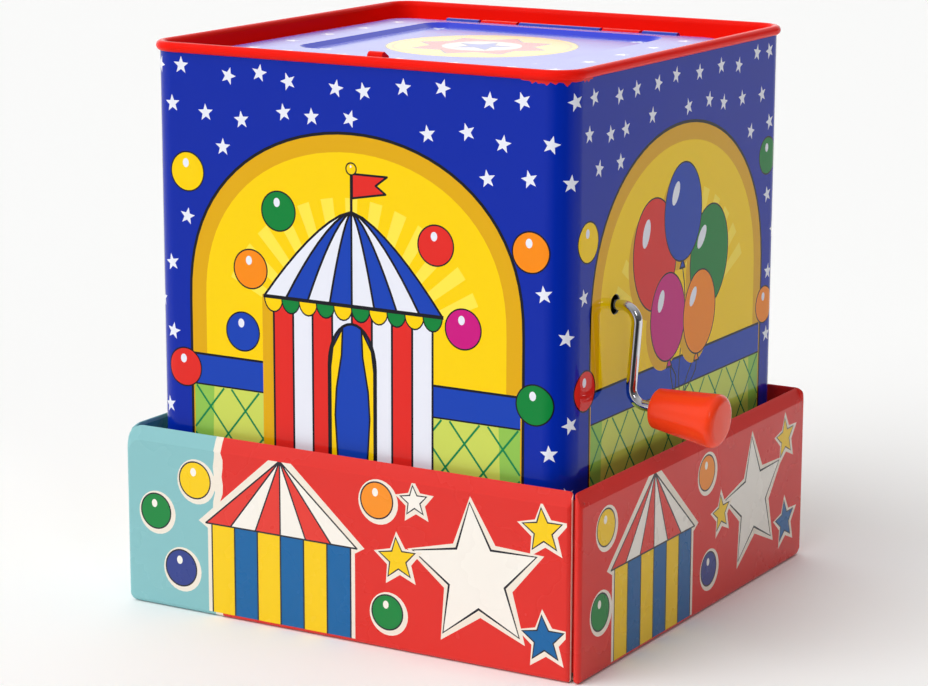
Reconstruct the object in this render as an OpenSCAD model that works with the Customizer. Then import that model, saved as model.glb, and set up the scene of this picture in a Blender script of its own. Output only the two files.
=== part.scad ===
// Tin jack-in-the-box standing in its open display carton.
// Units are millimetres. The origin is the middle of the carton's underside,
// +Z is up, -Y is the front of the box and +X is the crank side.

/* [Tin box] */
// Outer width and depth of the tin box
tin_w = 140; // [136:1:160]
// Height of the tin box, from its base seam to the top of the rolled bead
tin_h = 169; // [164:0.5:190]
// Outer radius of the upright corners
corner_r = 8; // [7:0.5:12]
// Thickness of the tinplate
sheet = 0.5; // [0.3:0.1:0.7]
// Radius of the rolled bead around the top
bead_r = 1.5; // [1.3:0.1:2.2]
// Radius of the rolled seam around the base
seam_r = 1.4; // [1.2:0.1:1.8]
// Height of the recessed base panel over the base seam's lowest line
base_rise = 3; // [2.5:0.1:5]
// Depth of the lid ledge below the top of the bead
rim_depth = 6.5; // [6.2:0.1:9]
// Depth of the turned-down lip around the lid opening
lip_h = 3; // [2:0.5:5]
// Width of the folded side seam on the back wall
side_seam_w = 5; // [4:0.5:8]

/* [Lid] */
// Width of the ledge beside the lid, from the tin's side wall
ledge_side = 11.5; // [10:0.5:17]
// Distance from the tin's front to the lid's front edge, and from its back to the hinge axis
ledge_end = 17; // [16:0.5:19]
// Height of the lid's turned-down edge
lid_flange = 2.7; // [2:0.1:3]
// Corner radius of the lid
lid_r = 7; // [5:0.5:10]
// Width of the flat border at the front and sides of the sunk lid panel
lid_border = 16; // [9:0.5:18]
// Width of the flat border behind the sunk lid panel
lid_border_back = 5; // [3:0.5:9]
// Depth of the sunk lid panel
lid_emboss = 1.2; // [0.8:0.1:1.7]
// Width of the sloped sides of the sunk lid panel
lid_slope = 2; // [1.2:0.1:3]
// How far the lid overlaps the ledge at its sides and front
lid_overlap = 5; // [4:0.5:7]
// Radius of the hinge pin
hinge_pin_r = 0.8; // [0.6:0.05:1]
// Wall of the rolled hinge knuckles
knuckle_wall = 0.8; // [0.6:0.05:1]
// Length of the lid's middle knuckle
knuckle_mid = 29; // [24:1:32]
// Length of each knuckle on the frame
knuckle_frame = 13; // [10:1:15]
// Length of each outer knuckle on the lid
knuckle_end = 12; // [9:1:14]

/* [Latch] */
// Width of the latch strap and its hook
latch_w = 5; // [4:0.5:9]
// Thickness of the latch strap
latch_t = 1.5; // [1.2:0.1:2]
// Distance of the latch strap's rear face in front of the lid's edge
latch_setoff = 3; // [3:0.1:5]
// Height of the latch pivot above the base
latch_pivot_z = 105; // [102:0.5:108]
// Radius of the latch pin
latch_pin_r = 1.2; // [1:0.1:1.5]
// Top of the hook below the top of the bead
hook_drop = 0.3; // [0.2:0.1:0.6]
// Thickness of the hook's nose
nose_t = 1.6; // [1.2:0.1:1.8]

/* [Crank] */
// Distance of the crank axis behind the front face
crank_from_front = 28.5; // [27:0.5:30]
// Height of the crank axis above the base
crank_z = 100; // [96:0.5:102]
// Radius of the crank wire
rod_r = 1.55; // [1.2:0.05:1.7]
// Radius of the hole in the side wall
crank_hole_r = 2.9; // [2.4:0.1:3.4]
// Distance of the crank arm outside the side wall
arm_out = 7; // [6:0.5:10]
// Length of the crank arm, from the axis to the knob's axis
arm_len = 27.5; // [24:0.5:32]
// Lean of the crank arm towards the tin, in degrees
arm_lean = 4.5; // [0:0.5:6]
// Bend radius of the crank wire, at its centre line
bend_r = 4.5; // [3.5:0.25:5.5]
// Bare wire between the arm's lower bend and the knob
knob_gap = 3.5; // [1:0.1:5]
// Length of the knob
knob_len = 21.2; // [18:0.2:32]
// Radius of the knob's inner end
knob_r_small = 5.8; // [4.5:0.1:6.5]
// Radius of the knob's outer end
knob_r_big = 7.7; // [6.7:0.1:9]
// Edge radius of the knob's outer end
knob_edge = 2.4; // [1.5:0.1:3]

/* [Music movement] */
// Gear module of the crank pinion and the drum gear
gear_m = 1; // [0.9:0.05:1.1]
// Teeth on the crank pinion
pinion_teeth = 12; // [12:1:14]
// Teeth on the drum gear
wheel_teeth = 36; // [32:1:38]
// Face width of the gears
gear_face = 4; // [3:0.5:5]
// Radius of the pinned drum
drum_r = 8.5; // [7:0.25:9]
// Length of the pinned drum
drum_len = 24; // [20:1:24]
// Radius of the drum axle
axle_r = 1.5; // [1.2:0.1:1.8]
// Tuned teeth on the comb
comb_teeth = 14; // [10:1:16]
// Thickness of the moulded frame's cheeks
cheek_t = 2; // [1.6:0.1:2.5]
// Base radius of the trip cam
cam_r = 7; // [6.5:0.1:7.2]
// Rise of the trip cam's lobe
cam_rise = 1; // [0.8:0.1:1.6]

/* [Puppet] */
// Radius of the puppet's head
head_r = 27; // [24:0.5:28]
// Coil radius of the pop spring, at the middle of its wire
spring_r = 19; // [17:0.5:20]
// Radius of the pop spring's wire
spring_wire_r = 1; // [0.8:0.1:1.2]
// Turns of the pop spring
spring_turns = 9; // [7:1:11]
// Height of the hat above the puppet's brow
hat_h = 48; // [44:1:54]
// Radius of the cloth body at the top of its folds
cloth_r = 29; // [27:0.5:30]
// Depth of the cloth body's folds
fold_depth = 3; // [2:0.25:3.5]
// Folds in the cloth body
folds = 7; // [5:1:9]
// Thickness of the cloth body
cloth_t = 1.2; // [0.8:0.1:1.5]
// Mean radius of the collar ruff
ruff_r = 32; // [30:0.5:33]
// Gap between the hat's pompom and the closed lid
lid_clear = 2; // [1.5:0.1:4]
// Forward lean of the hat's tip
hat_lean = 24; // [22:0.5:26]

/* [Display carton] */
// Height of the carton's walls
tray_h = 55; // [45:1:58]
// Thickness of the doubled carton walls
tray_wall = 2.4; // [1.8:0.1:3]
// Thickness of the carton's floor
tray_floor = 1.5; // [1:0.1:2.5]
// Gap between the tin and the carton at the left and right
tray_gap_x = 5.4; // [3:0.1:8]
// Gap between the tin and the carton at the front and back
tray_gap_y = 3; // [2:0.1:6]
// Radius of the carton's folded corners
tray_r = 2.6; // [2.4:0.1:4]

/* [Hidden] */
$fn = 48;

// Clearances
seat_gap = 0.2;     // between pieces of two bodies that rest on each other
run_fit = 0.05;     // radial play of a turning pin
press_fit = 0.02;   // radial play of a fixed pin
slip = 0.3;         // between neighbours that pass each other
groove_fit = 0.1;   // between a sheet edge and the seam rolled around it
bend_neck = 0.02;   // how much thinner the wire is in its bends
bend_lap = 2;       // degrees that a bend runs into the straight wire

// Tin box
tin_z = tray_floor + seat_gap;
half = tin_w / 2;
wall_in = half - sheet;
path_w = tin_w - sheet;
path_r = corner_r - sheet / 2;
ledge_z = tin_h - rim_depth;
rim_in = half - sheet / 2 - bead_r + sheet;
lid_w = tin_w - 2 * ledge_side;
hinge_y = half - ledge_end;
lid_front = -hinge_y;
knuckle_r = hinge_pin_r + run_fit + knuckle_wall;
hinge_z = ledge_z + knuckle_r + slip;
lid_z = ledge_z + slip + lid_flange;
lid_back = hinge_y - knuckle_r - 2 * slip;
open_w = lid_w - 2 * lid_overlap;
open_front = lid_front + lid_overlap;
open_back = lid_back - lid_overlap / 2;
open_d = open_back - open_front;
open_y = (open_back + open_front) / 2;
open_r = lid_r - 1;
hinge_gap = 1;
hinge_len = knuckle_mid + 2 * (knuckle_frame + knuckle_end) + 4 * hinge_gap;
frame_knuckle_x = knuckle_mid / 2 + hinge_gap;
end_knuckle_x = frame_knuckle_x + knuckle_frame + hinge_gap;

// Latch, with its hook drawn back far enough to free the lid
latch_y = lid_front - latch_setoff;
hook_z = tin_h - hook_drop;
nose_y = lid_front - 2 * slip;
latch_pivot_y = latch_y - latch_t / 2;
latch_barrel_r = latch_pin_r + run_fit + 1.6;
slot_margin = 1.2;
latch_swing_room = 5;

// Crank
crank_y = -half + crank_from_front;
arm_x = half + arm_out;
arm_straight = arm_len - 2 * bend_r;
knob_wall = 3;
knob_grip = knob_len - knob_wall;

// Music movement
centre_distance = gear_m * (pinion_teeth + wheel_teeth) / 2;
drum_setback = 3;
drum_y = crank_y + drum_setback;
drum_z = crank_z + sqrt(centre_distance * centre_distance - drum_setback * drum_setback);
mesh_angle = atan2(drum_z - crank_z, drum_setback);
wall_clear = 7;
cheek_right = half - wall_clear - cheek_t;
gear_x = cheek_right - gear_face - 2;
drum_gap = 3;
drum_x = gear_x - drum_gap - drum_len;
cheek_left = drum_x - 2 - cheek_t;
cam_t = 4;
cam_gap = 3;
cam_x = cheek_left - cam_gap - cam_t;
pin_h = 0.7;
pin_r = 0.4;
web_z = crank_z - 12;
web_t = 2;
web_front = -wall_in + 4;
web_back = drum_y + 6;
ear_x = cam_x - 8;
bracket_t = 1;
bracket_y = crank_y - 9;
bracket_x0 = cheek_left + 6;
bracket_x1 = cheek_right - 4;
bracket_lip = 6;
foot_d = 16;
screw_r = 1.3;
rivet_r = 1.5;
rivet_head_r = 3;
rivet_head_t = 1;

// Trip cam and its follower
lobe_r = cam_r + cam_rise;
follower_y = drum_y - lobe_r - slip;

// Puppet
puppet_y = 5;
floor_z = base_rise;
base_t = 1.5;
base_r = cloth_r - 2;
spring_z0 = floor_z + base_t + spring_wire_r + press_fit;
cup_t = 2;
ruff_t = 4;
brow_z = 11;
pompom_r = 5;
lid_under = lid_z - sheet - lid_emboss;
tip_z = lid_under - lid_clear - 2 * pompom_r;
head_z = tip_z - hat_h - brow_z;
ruff_z = head_z - head_r - ruff_t;
neck_z = ruff_z - slip - cup_t;
spring_z1 = neck_z - spring_wire_r - press_fit;
cup_r = spring_r + 3;
cup_stub_r = 9;
neck_r = 11;
arm_r = 6.5;
wrist_r = 4.5;
shoulder = [cloth_r + 3.5, 0, neck_z - 8];
wrist = [cloth_r + 11, -3, neck_z - 28];
hand_r = 5.5;

// A rectangle with rounded corners
module rounded(w, d, r) {
    square([w - 2 * r, d], center = true);
    square([w, d - 2 * r], center = true);
    for (sx = [-1, 1], sy = [-1, 1])
        translate([sx * (w / 2 - r), sy * (d / 2 - r)])
            circle(r = r);
}

// A profile carried around a rounded rectangle: its x is outward, its y is up
module around(w, d, r) {
    for (turn = [0:3]) {
        across = turn % 2 == 0 ? w : d;
        along = turn % 2 == 0 ? d : w;
        rotate([0, 0, 90 * turn]) {
            translate([across / 2, 0, 0])
                rotate([90, 0, 0])
                    linear_extrude(along - 2 * r, center = true)
                        children();
            translate([across / 2 - r, along / 2 - r, 0])
                rotate_extrude(angle = 90)
                    translate([r, 0])
                        children();
        }
    }
}

// A shape drawn in Y and Z, and carried along X
module along_x(x0, length) {
    translate([x0, 0, 0])
        rotate([90, 0, 90])
            linear_extrude(length)
                children();
}

// A round bar along X
module bar_x(x0, length, y, z, r) {
    translate([x0, y, z])
        rotate([0, 90, 0])
            cylinder(h = length, r = r);
}

// The tin stands on the carton's floor
module in_tin() {
    translate([0, 0, tin_z])
        children();
}

// A tube swept along a list of points, with one ring of sides at each point
function unit(v) = v / norm(v);
function path_dir(p, i) = unit(p[min(i + 1, len(p) - 1)] - p[max(i - 1, 0)]);
function path_ring(p, i, r, sides, up) =
    let (d = path_dir(p, i), a = unit(cross(up, d)), b = cross(d, a))
        [for (k = [0:sides - 1]) p[i] + r * (cos(360 * k / sides) * a + sin(360 * k / sides) * b)];
module swept_tube(p, r, sides, up) {
    last = (len(p) - 1) * sides;
    walls = [for (i = [0:len(p) - 2], k = [0:sides - 1], half_face = [0, 1])
        let (a = i * sides + k, b = i * sides + (k + 1) % sides)
            half_face == 0 ? [a, a + sides, b] : [b, a + sides, b + sides]];
    start_cap = [for (k = [1:sides - 2]) [0, k, k + 1]];
    end_cap = [for (k = [1:sides - 2]) [last, last + k + 1, last + k]];
    polyhedron([for (i = [0:len(p) - 1]) each path_ring(p, i, r, sides, up)],
               concat(walls, start_cap, end_cap));
}

// Points of a coil around +Z
rings_per_turn = 8;
function coil(r, z0, z1, turns) =
    [for (i = [0:turns * rings_per_turn])
        let (a = 360 * i / rings_per_turn, t = i / (turns * rings_per_turn))
            [r * cos(a), r * sin(a), z0 + (z1 - z0) * t]];

// Involute gear outline with a tooth centred on the +x axis
pressure = 25;
backlash = 0.22;
function involute(rb, r) = let (a = acos(min(1, rb / r))) tan(a) * 180 / PI - a;
function flank(teeth, r) =
    let (rp = gear_m * teeth / 2, rb = rp * cos(pressure))
        90 / teeth - backlash / rp * 90 / PI / 2 + involute(rb, rp) - involute(rb, max(r, rb));
function polar(r, a) = [r * cos(a), r * sin(a)];
module gear_outline(teeth) {
    rp = gear_m * teeth / 2;
    root = rp - 1.25 * gear_m;
    tip = rp + gear_m;
    rb = rp * cos(pressure);
    steps = 4;
    radii = concat([root], [for (i = [0:steps]) max(root, rb) + (tip - max(root, rb)) * i / steps]);
    polygon([for (t = [0:teeth - 1]) each concat(
        [for (r = radii) polar(r, 360 * t / teeth - flank(teeth, r))],
        [for (i = [len(radii) - 1:-1:0]) polar(radii[i], 360 * t / teeth + flank(teeth, radii[i]))])]);
}

// A rivet through two sheets, with a head on both sides
module rivet(z0, z1) {
    translate([0, 0, z0 - rivet_head_t])
        cylinder(h = rivet_head_t, r = rivet_head_r);
    translate([0, 0, z0 - rivet_head_t / 2])
        cylinder(h = z1 - z0 + rivet_head_t, r = rivet_r);
    translate([0, 0, z1])
        cylinder(h = rivet_head_t, r = rivet_head_r);
}

// Display carton: floor, doubled front and back panels, and side panels folded in between them
function fold_profile(h) = concat([[-tray_wall / 2, 0], [tray_wall / 2, 0]],
    [for (a = [0:20:180]) [0, h - tray_wall / 2] + polar(tray_wall / 2, a)]);
module display_tray() {
    w = tin_w + 2 * (tray_gap_x + tray_wall);
    d = tin_w + 2 * (tray_gap_y + tray_wall);
    side_drop = 0.6;
    end_plan = [for (side = [1, -1], a = [90:-30:0])
        [side * (w / 2 - tray_r + tray_r * sin(side > 0 ? a : 90 - a)),
         -d / 2 + tray_r - tray_r * cos(side > 0 ? a : 90 - a)]];
    color("firebrick") {
        translate([-w / 2 + tray_wall / 2, -d / 2 + tray_wall / 2, 0])
            cube([w - tray_wall, d - tray_wall, tray_floor]);
        for (turn = [0, 180])
            rotate([0, 0, turn]) {
                intersection() {
                    translate([0, -d / 2 + tray_wall / 2, 0])
                        along_x(-w / 2, w)
                            polygon(fold_profile(tray_h));
                    linear_extrude(tray_h + 1)
                        polygon(concat([[-w / 2, -d / 2 + 2 * tray_wall], [w / 2, -d / 2 + 2 * tray_wall]],
                                       end_plan));
                }
                translate([w / 2 - tray_wall / 2 - side_drop / 2, 0, 0])
                    rotate([90, 0, 0])
                        linear_extrude(d - tray_wall, center = true)
                            polygon(fold_profile(tray_h - side_drop));
            }
    }
}

// Side wall of the tin, one wrapped sheet with a folded seam inside its back
module body_shell() {
    color("mediumblue")
        in_tin()
            difference() {
                union() {
                    translate([0, 0, seam_r])
                        linear_extrude(tin_h - bead_r - seam_r)
                            difference() {
                                rounded(tin_w, tin_w, corner_r);
                                rounded(2 * wall_in, 2 * wall_in, corner_r - sheet);
                            }
                    translate([-side_seam_w / 2, wall_in - 2 * sheet, 3 * seam_r + base_rise])
                        cube([side_seam_w, 2.2 * sheet, ledge_z - lip_h - 3 * seam_r - base_rise - slip]);
                }
                bar_x(half - 5, 10, crank_y, crank_z, crank_hole_r);
            }
}

// Rolled seam that holds a sheet edge; edge is +1 where the sheet enters from above
module rolled_seam(r, z, edge) {
    difference() {
        translate([0, z])
            circle(r = r);
        translate([0, z])
            circle(r = r - sheet);
        translate([-sheet / 2 - groove_fit, z + (edge > 0 ? 0 : -r - 1)])
            square([sheet + 2 * groove_fit, r + 1]);
    }
}

// Base pan: recessed panel, upright flange and the seam rolled around the wall's lower edge
module bottom_plate() {
    flange_in = half - sheet / 2 - seam_r;
    color("silver")
        in_tin()
            difference() {
                union() {
                    around(path_w, path_w, path_r) {
                        rolled_seam(seam_r, seam_r, 1);
                        translate([-seam_r, seam_r])
                            square([sheet, base_rise - seam_r]);
                    }
                    translate([0, 0, base_rise - sheet])
                        linear_extrude(sheet)
                            rounded(2 * (flange_in + sheet), 2 * (flange_in + sheet),
                                    path_r - seam_r + sheet);
                }
                for (p = base_rivet_spots())
                    translate([p[0], p[1], 0])
                        cylinder(h = base_rise + 1, r = rivet_r + press_fit);
                for (p = bracket_rivet_spots())
                    translate([p[0], p[1], 0])
                        cylinder(h = base_rise + 1, r = rivet_r + press_fit);
            }
}

// Red top: rolled bead, inner wall, ledge with a lipped opening, and hinge knuckles
module top_frame() {
    color("red")
        in_tin()
            difference() {
                union() {
                    around(path_w, path_w, path_r) {
                        rolled_seam(bead_r, tin_h - bead_r, -1);
                        translate([-bead_r, ledge_z - sheet])
                            square([sheet, tin_h - bead_r - ledge_z + sheet]);
                    }
                    translate([0, 0, ledge_z - sheet])
                        linear_extrude(sheet)
                            rounded(2 * rim_in, 2 * rim_in, path_r - bead_r + sheet);
                    translate([0, open_y, ledge_z - lip_h])
                        linear_extrude(lip_h)
                            rounded(open_w + 2 * sheet, open_d + 2 * sheet, open_r + sheet);
                    for (side = [-1, 1]) {
                        x0 = side > 0 ? frame_knuckle_x : -frame_knuckle_x - knuckle_frame;
                        bar_x(x0, knuckle_frame, hinge_y, hinge_z, knuckle_r);
                        translate([x0, hinge_y + knuckle_r - knuckle_wall, ledge_z - sheet / 2])
                            cube([knuckle_frame, knuckle_wall, hinge_z - ledge_z + sheet / 2]);
                    }
                }
                translate([0, open_y, ledge_z - lip_h - 1])
                    linear_extrude(lip_h + 2)
                        rounded(open_w, open_d, open_r);
                bar_x(-hinge_len / 2, hinge_len, hinge_y, hinge_z, hinge_pin_r + press_fit);
                translate([-latch_w / 2 - slot_margin, latch_y - latch_t - latch_swing_room, ledge_z - 2])
                    cube([latch_w + 2 * slot_margin, latch_t + latch_swing_room + latch_setoff + slip, 4]);
            }
}

// Wire pin through the five knuckles of the lid hinge
module hinge_pin() {
    color("lightgray")
        in_tin()
            bar_x(-hinge_len / 2, hinge_len, hinge_y, hinge_z, hinge_pin_r);
}

// Lid: turned-down edges, sunk panel with sloped sides, and three rolled knuckles
module lid_panel() {
    depth = lid_back - lid_front;
    mid_y = (lid_back + lid_front) / 2;
    panel_w = lid_w - 2 * lid_border;
    panel_d = depth - lid_border - lid_border_back;
    panel_y = (lid_border - lid_border_back) / 2;
    lap = 2 * sheet;
    color("slateblue")
        in_tin()
            difference() {
                union() {
                    translate([0, mid_y, lid_z - sheet])
                        linear_extrude(sheet)
                            difference() {
                                rounded(lid_w, depth, lid_r);
                                translate([0, panel_y])
                                    rounded(panel_w, panel_d, lid_r);
                            }
                    translate([0, mid_y, ledge_z + slip])
                        linear_extrude(lid_flange)
                            intersection() {
                                difference() {
                                    rounded(lid_w, depth, lid_r);
                                    rounded(lid_w - 2 * sheet, depth - 2 * sheet, lid_r - sheet);
                                }
                                translate([0, -lid_r])
                                    square([lid_w + 1, depth], center = true);
                            }
                    translate([0, mid_y + panel_y, lid_z - sheet])
                        around(panel_w, panel_d, lid_r)
                            polygon([[0, 0], [lap, 0], [lap, sheet], [0, sheet],
                                     [-lid_slope, sheet - lid_emboss],
                                     [-lid_slope - lap, sheet - lid_emboss],
                                     [-lid_slope - lap, -lid_emboss], [-lid_slope, -lid_emboss]]);
                    translate([0, mid_y + panel_y, lid_z - sheet - lid_emboss])
                        linear_extrude(sheet)
                            rounded(panel_w - 2 * lid_slope, panel_d - 2 * lid_slope, lid_r - lid_slope);
                    for (k = lid_knuckles()) {
                        bar_x(k[0], k[1], hinge_y, hinge_z, knuckle_r);
                        translate([k[0], lid_back - 1, lid_z - sheet])
                            cube([k[1], hinge_y - lid_back + 1, sheet]);
                    }
                }
                bar_x(-hinge_len / 2 - 1, hinge_len + 2, hinge_y, hinge_z, hinge_pin_r + run_fit);
            }
}
function lid_knuckles() = [[-knuckle_mid / 2, knuckle_mid], [end_knuckle_x, knuckle_end],
                           [-end_knuckle_x - knuckle_end, knuckle_end]];

// Latch: cranked strap with a hook over the lid, a cam follower and a pivot barrel
module latch_lever() {
    follower_x = cam_x - 1;
    follower_w = cam_t + 2;
    strap_z = drum_z + 8;
    bridge_h = latch_w;
    front = latch_y - latch_t;
    color("red")
        in_tin()
            difference() {
                union() {
                    translate([follower_x, front, latch_pivot_z])
                        cube([follower_w, latch_t, strap_z + bridge_h - latch_pivot_z]);
                    translate([-latch_w / 2, front, strap_z])
                        cube([follower_x + follower_w + latch_w / 2, latch_t, bridge_h]);
                    translate([-latch_w / 2, front, strap_z])
                        cube([latch_w, latch_t, hook_z - 2 * nose_t - strap_z]);
                    along_x(-latch_w / 2, latch_w)
                        polygon(concat([[latch_y, hook_z - 2.5 * nose_t], [front, hook_z - 2.5 * nose_t]],
                                       [for (a = [180:-30:90])
                                           [front + nose_t, hook_z - nose_t] + polar(nose_t, a)],
                                       [[nose_y, hook_z - 0.9 * nose_t], [nose_y, hook_z - 1.5 * nose_t],
                                        [latch_y, hook_z - 1.3 * nose_t]]));
                    translate([follower_x, front, drum_z - 2])
                        cube([follower_w, follower_y - front - 2, 4]);
                    bar_x(follower_x, follower_w, follower_y - 2, drum_z, 2);
                    bar_x(follower_x, follower_w, latch_pivot_y, latch_pivot_z, latch_barrel_r);
                }
                bar_x(follower_x - 1, follower_w + 2, latch_pivot_y, latch_pivot_z, latch_pin_r + run_fit);
            }
}

// Pin that the latch swings on, held in the frame's cheek and its ear
module latch_pin() {
    color("silver")
        in_tin()
            bar_x(ear_x - 1, cheek_left + cheek_t + 2 - ear_x, latch_pivot_y, latch_pivot_z, latch_pin_r);
}

// Small coil on the latch pin that turns the hook over the lid
latch_wire_r = 0.4;
latch_coil_turns = 3;
module latch_spring() {
    x0 = ear_x + cheek_t + 2 * latch_wire_r;
    x1 = cam_x - 1 - 2 * latch_wire_r;
    color("gray")
        in_tin()
            translate([x0, latch_pivot_y, latch_pivot_z])
                rotate([0, 90, 0])
                    swept_tube(coil(latch_pin_r + slip + latch_wire_r, 0, x1 - x0, latch_coil_turns),
                               latch_wire_r, 6, [0, 0, 1]);
}

// Crank: one bent wire, from the frame's left cheek to the middle of the knob
module crank_rod() {
    inner_x = cheek_left - 1;
    color("gainsboro")
        in_tin() {
            bar_x(inner_x, arm_x - bend_r - inner_x, crank_y, crank_z, rod_r);
            on_arm() {
                wire_bend(90 + arm_lean);
                translate([bend_r, 0, -arm_straight])
                    cylinder(h = arm_straight, r = rod_r);
                translate([2 * bend_r, 0, -arm_straight])
                    rotate([0, 180, 0])
                        wire_bend(90);
                bar_x(2 * bend_r, knob_gap + knob_grip, 0, -arm_straight - bend_r, rod_r);
            }
        }
}

// Bend of the wire, a little drawn in, whose ends run into the straight lengths
module wire_bend(angle) {
    rotate([90, 0, 0])
        rotate([0, 0, -bend_lap])
            rotate_extrude(angle = angle + 2 * bend_lap)
                translate([bend_r, 0])
                    circle(r = rod_r - bend_neck);
}

// Frame of the leaning arm, at the centre of the wire's upper bend
module on_arm() {
    translate([arm_x - bend_r, crank_y, crank_z - bend_r])
        rotate([0, arm_lean, 0])
            children();
}

// Knob: tapered grip with a rounded outer end, free to turn on the wire
module crank_knob() {
    neck_edge = 1;
    body_len = knob_len - knob_edge;
    color("orangered")
        in_tin()
            on_arm()
                translate([2 * bend_r + knob_gap, 0, -arm_straight - bend_r])
                    rotate([0, 90, 0])
                        difference() {
                            rotate_extrude() {
                                polygon([[0, 0], [knob_r_small - neck_edge, 0], [knob_r_small, neck_edge],
                                         [knob_r_big, body_len], [knob_r_big - knob_edge, body_len],
                                         [knob_r_big - knob_edge, knob_len], [0, knob_len]]);
                                intersection() {
                                    translate([knob_r_big - knob_edge, body_len])
                                        circle(r = knob_edge);
                                    translate([0, body_len])
                                        square([knob_r_big, knob_edge]);
                                }
                            }
                            translate([0, 0, -1])
                                cylinder(h = knob_grip + 1 + slip, r = rod_r + run_fit);
                        }
}

// Pinion pressed on the crank wire
module crank_pinion() {
    hub_r = 3.4;
    color("ivory")
        in_tin()
            difference() {
                union() {
                    translate([0, crank_y, crank_z])
                        along_x(gear_x - 0.5, gear_face + 1)
                            rotate(mesh_angle)
                                gear_outline(pinion_teeth);
                    bar_x(gear_x - 2, cheek_right - slip - gear_x + 2, crank_y, crank_z, hub_r);
                }
                bar_x(gear_x - 3, gear_face + 8, crank_y, crank_z, rod_r + press_fit);
            }
}

// Push-on clip that keeps the crank wire from sliding in
module crank_clip() {
    clip_r = 3.5;
    clip_t = 0.8;
    color("silver")
        in_tin()
            difference() {
                bar_x(cheek_right + cheek_t + slip, clip_t, crank_y, crank_z, clip_r);
                bar_x(cheek_right + cheek_t, clip_t + 1, crank_y, crank_z, rod_r + press_fit);
            }
}

// Outline of a cheek: a plate around the crank and drum bores
module cheek_outline() {
    boss_r = 6;
    translate([web_front, web_z])
        square([web_back - web_front, crank_z - web_z + boss_r]);
    translate([crank_y - boss_r, crank_z])
        square([drum_y - crank_y + 2 * boss_r, drum_z - crank_z]);
    translate([drum_y, drum_z])
        circle(r = boss_r + drum_setback / 2);
    translate([web_front, crank_z])
        square([crank_y - web_front, comb_z() - crank_z]);
}

// Moulded frame: two cheeks, a web below, a comb shelf, and the ear of the latch pin
function comb_z() = drum_z - comb_t / 2;
comb_t = 0.8;
shelf_t = 3;
shelf_d = 8;
module movement_frame() {
    ear_w = 10;
    shelf_y = web_front;
    color("whitesmoke")
        in_tin()
            difference() {
                union() {
                    along_x(cheek_right, cheek_t)
                        cheek_outline();
                    along_x(cheek_left, cheek_t)
                        cheek_outline();
                    translate([ear_x, web_front, web_z])
                        cube([cheek_right + cheek_t - ear_x, web_back - web_front, web_t]);
                    translate([cheek_left, shelf_y, comb_z() - shelf_t])
                        cube([cheek_right + cheek_t - cheek_left, shelf_d, shelf_t]);
                    along_x(ear_x, cheek_t) {
                        translate([latch_pivot_y - ear_w / 2, web_z])
                            square([ear_w, latch_pivot_z - web_z]);
                        translate([latch_pivot_y, latch_pivot_z])
                            circle(r = ear_w / 2);
                    }
                }
                bar_x(cheek_left - 1, cheek_right - cheek_left + 2 * cheek_t + 2, crank_y, crank_z,
                      rod_r + run_fit);
                bar_x(cheek_left - 1, cheek_right - cheek_left + 2 * cheek_t + 2, drum_y, drum_z,
                      axle_r + run_fit);
                bar_x(ear_x - 1, cheek_left + cheek_t + 2 - ear_x, latch_pivot_y, latch_pivot_z,
                      latch_pin_r + press_fit);
                for (p = bracket_screw_spots())
                    translate([p[0], p[1], web_z - 1])
                        cylinder(h = web_t + 2, r = screw_r + press_fit);
                for (x = comb_screw_xs())
                    translate([x, comb_screw_y(), comb_z() - shelf_t - 1])
                        cylinder(h = shelf_t + 2, r = screw_r + press_fit);
            }
}

// Steel bracket that carries the movement on the base panel
function bracket_screw_spots() = [for (x = [bracket_x0 + 6, bracket_x1 - 6]) [x, bracket_y + foot_d / 2 + 2]];
function bracket_rivet_spots() = bracket_screw_spots();
module movement_bracket() {
    color("darkgray")
        in_tin()
            difference() {
                union() {
                    translate([bracket_x0, bracket_y, floor_z])
                        cube([bracket_x1 - bracket_x0, bracket_t, web_z - floor_z]);
                    for (z = [floor_z, web_z - bracket_t])
                        translate([bracket_x0, bracket_y, z])
                            cube([bracket_x1 - bracket_x0, foot_d, bracket_t]);
                    for (x = [bracket_x0, bracket_x1 - bracket_t])
                        translate([x, bracket_y - bracket_lip, floor_z])
                            cube([bracket_t, bracket_lip + bracket_t, web_z - floor_z]);
                }
                for (p = bracket_screw_spots())
                    translate([p[0], p[1], floor_z - 1])
                        cylinder(h = web_z, r = rivet_r + press_fit);
                translate([(bracket_x0 + bracket_x1) / 2, bracket_y - 1, (floor_z + web_z) / 2])
                    rotate([-90, 0, 0])
                        cylinder(h = bracket_t + 2, r = (bracket_x1 - bracket_x0) / 4);
            }
}

// Rivets that hold the bracket's foot on the base panel
module bracket_rivets() {
    color("silver")
        in_tin()
            for (p = bracket_rivet_spots())
                translate([p[0], p[1], 0])
                    rivet(base_rise - sheet, floor_z + bracket_t);
}

// Screws that hold the moulded frame on the bracket, put in from below
module bracket_screws() {
    color("silver")
        in_tin()
            for (p = bracket_screw_spots())
                translate([p[0], p[1], web_z - bracket_t - rivet_head_t]) {
                    cylinder(h = rivet_head_t, r = rivet_head_r);
                    cylinder(h = rivet_head_t + bracket_t + web_t, r = screw_r);
                }
}

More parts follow.
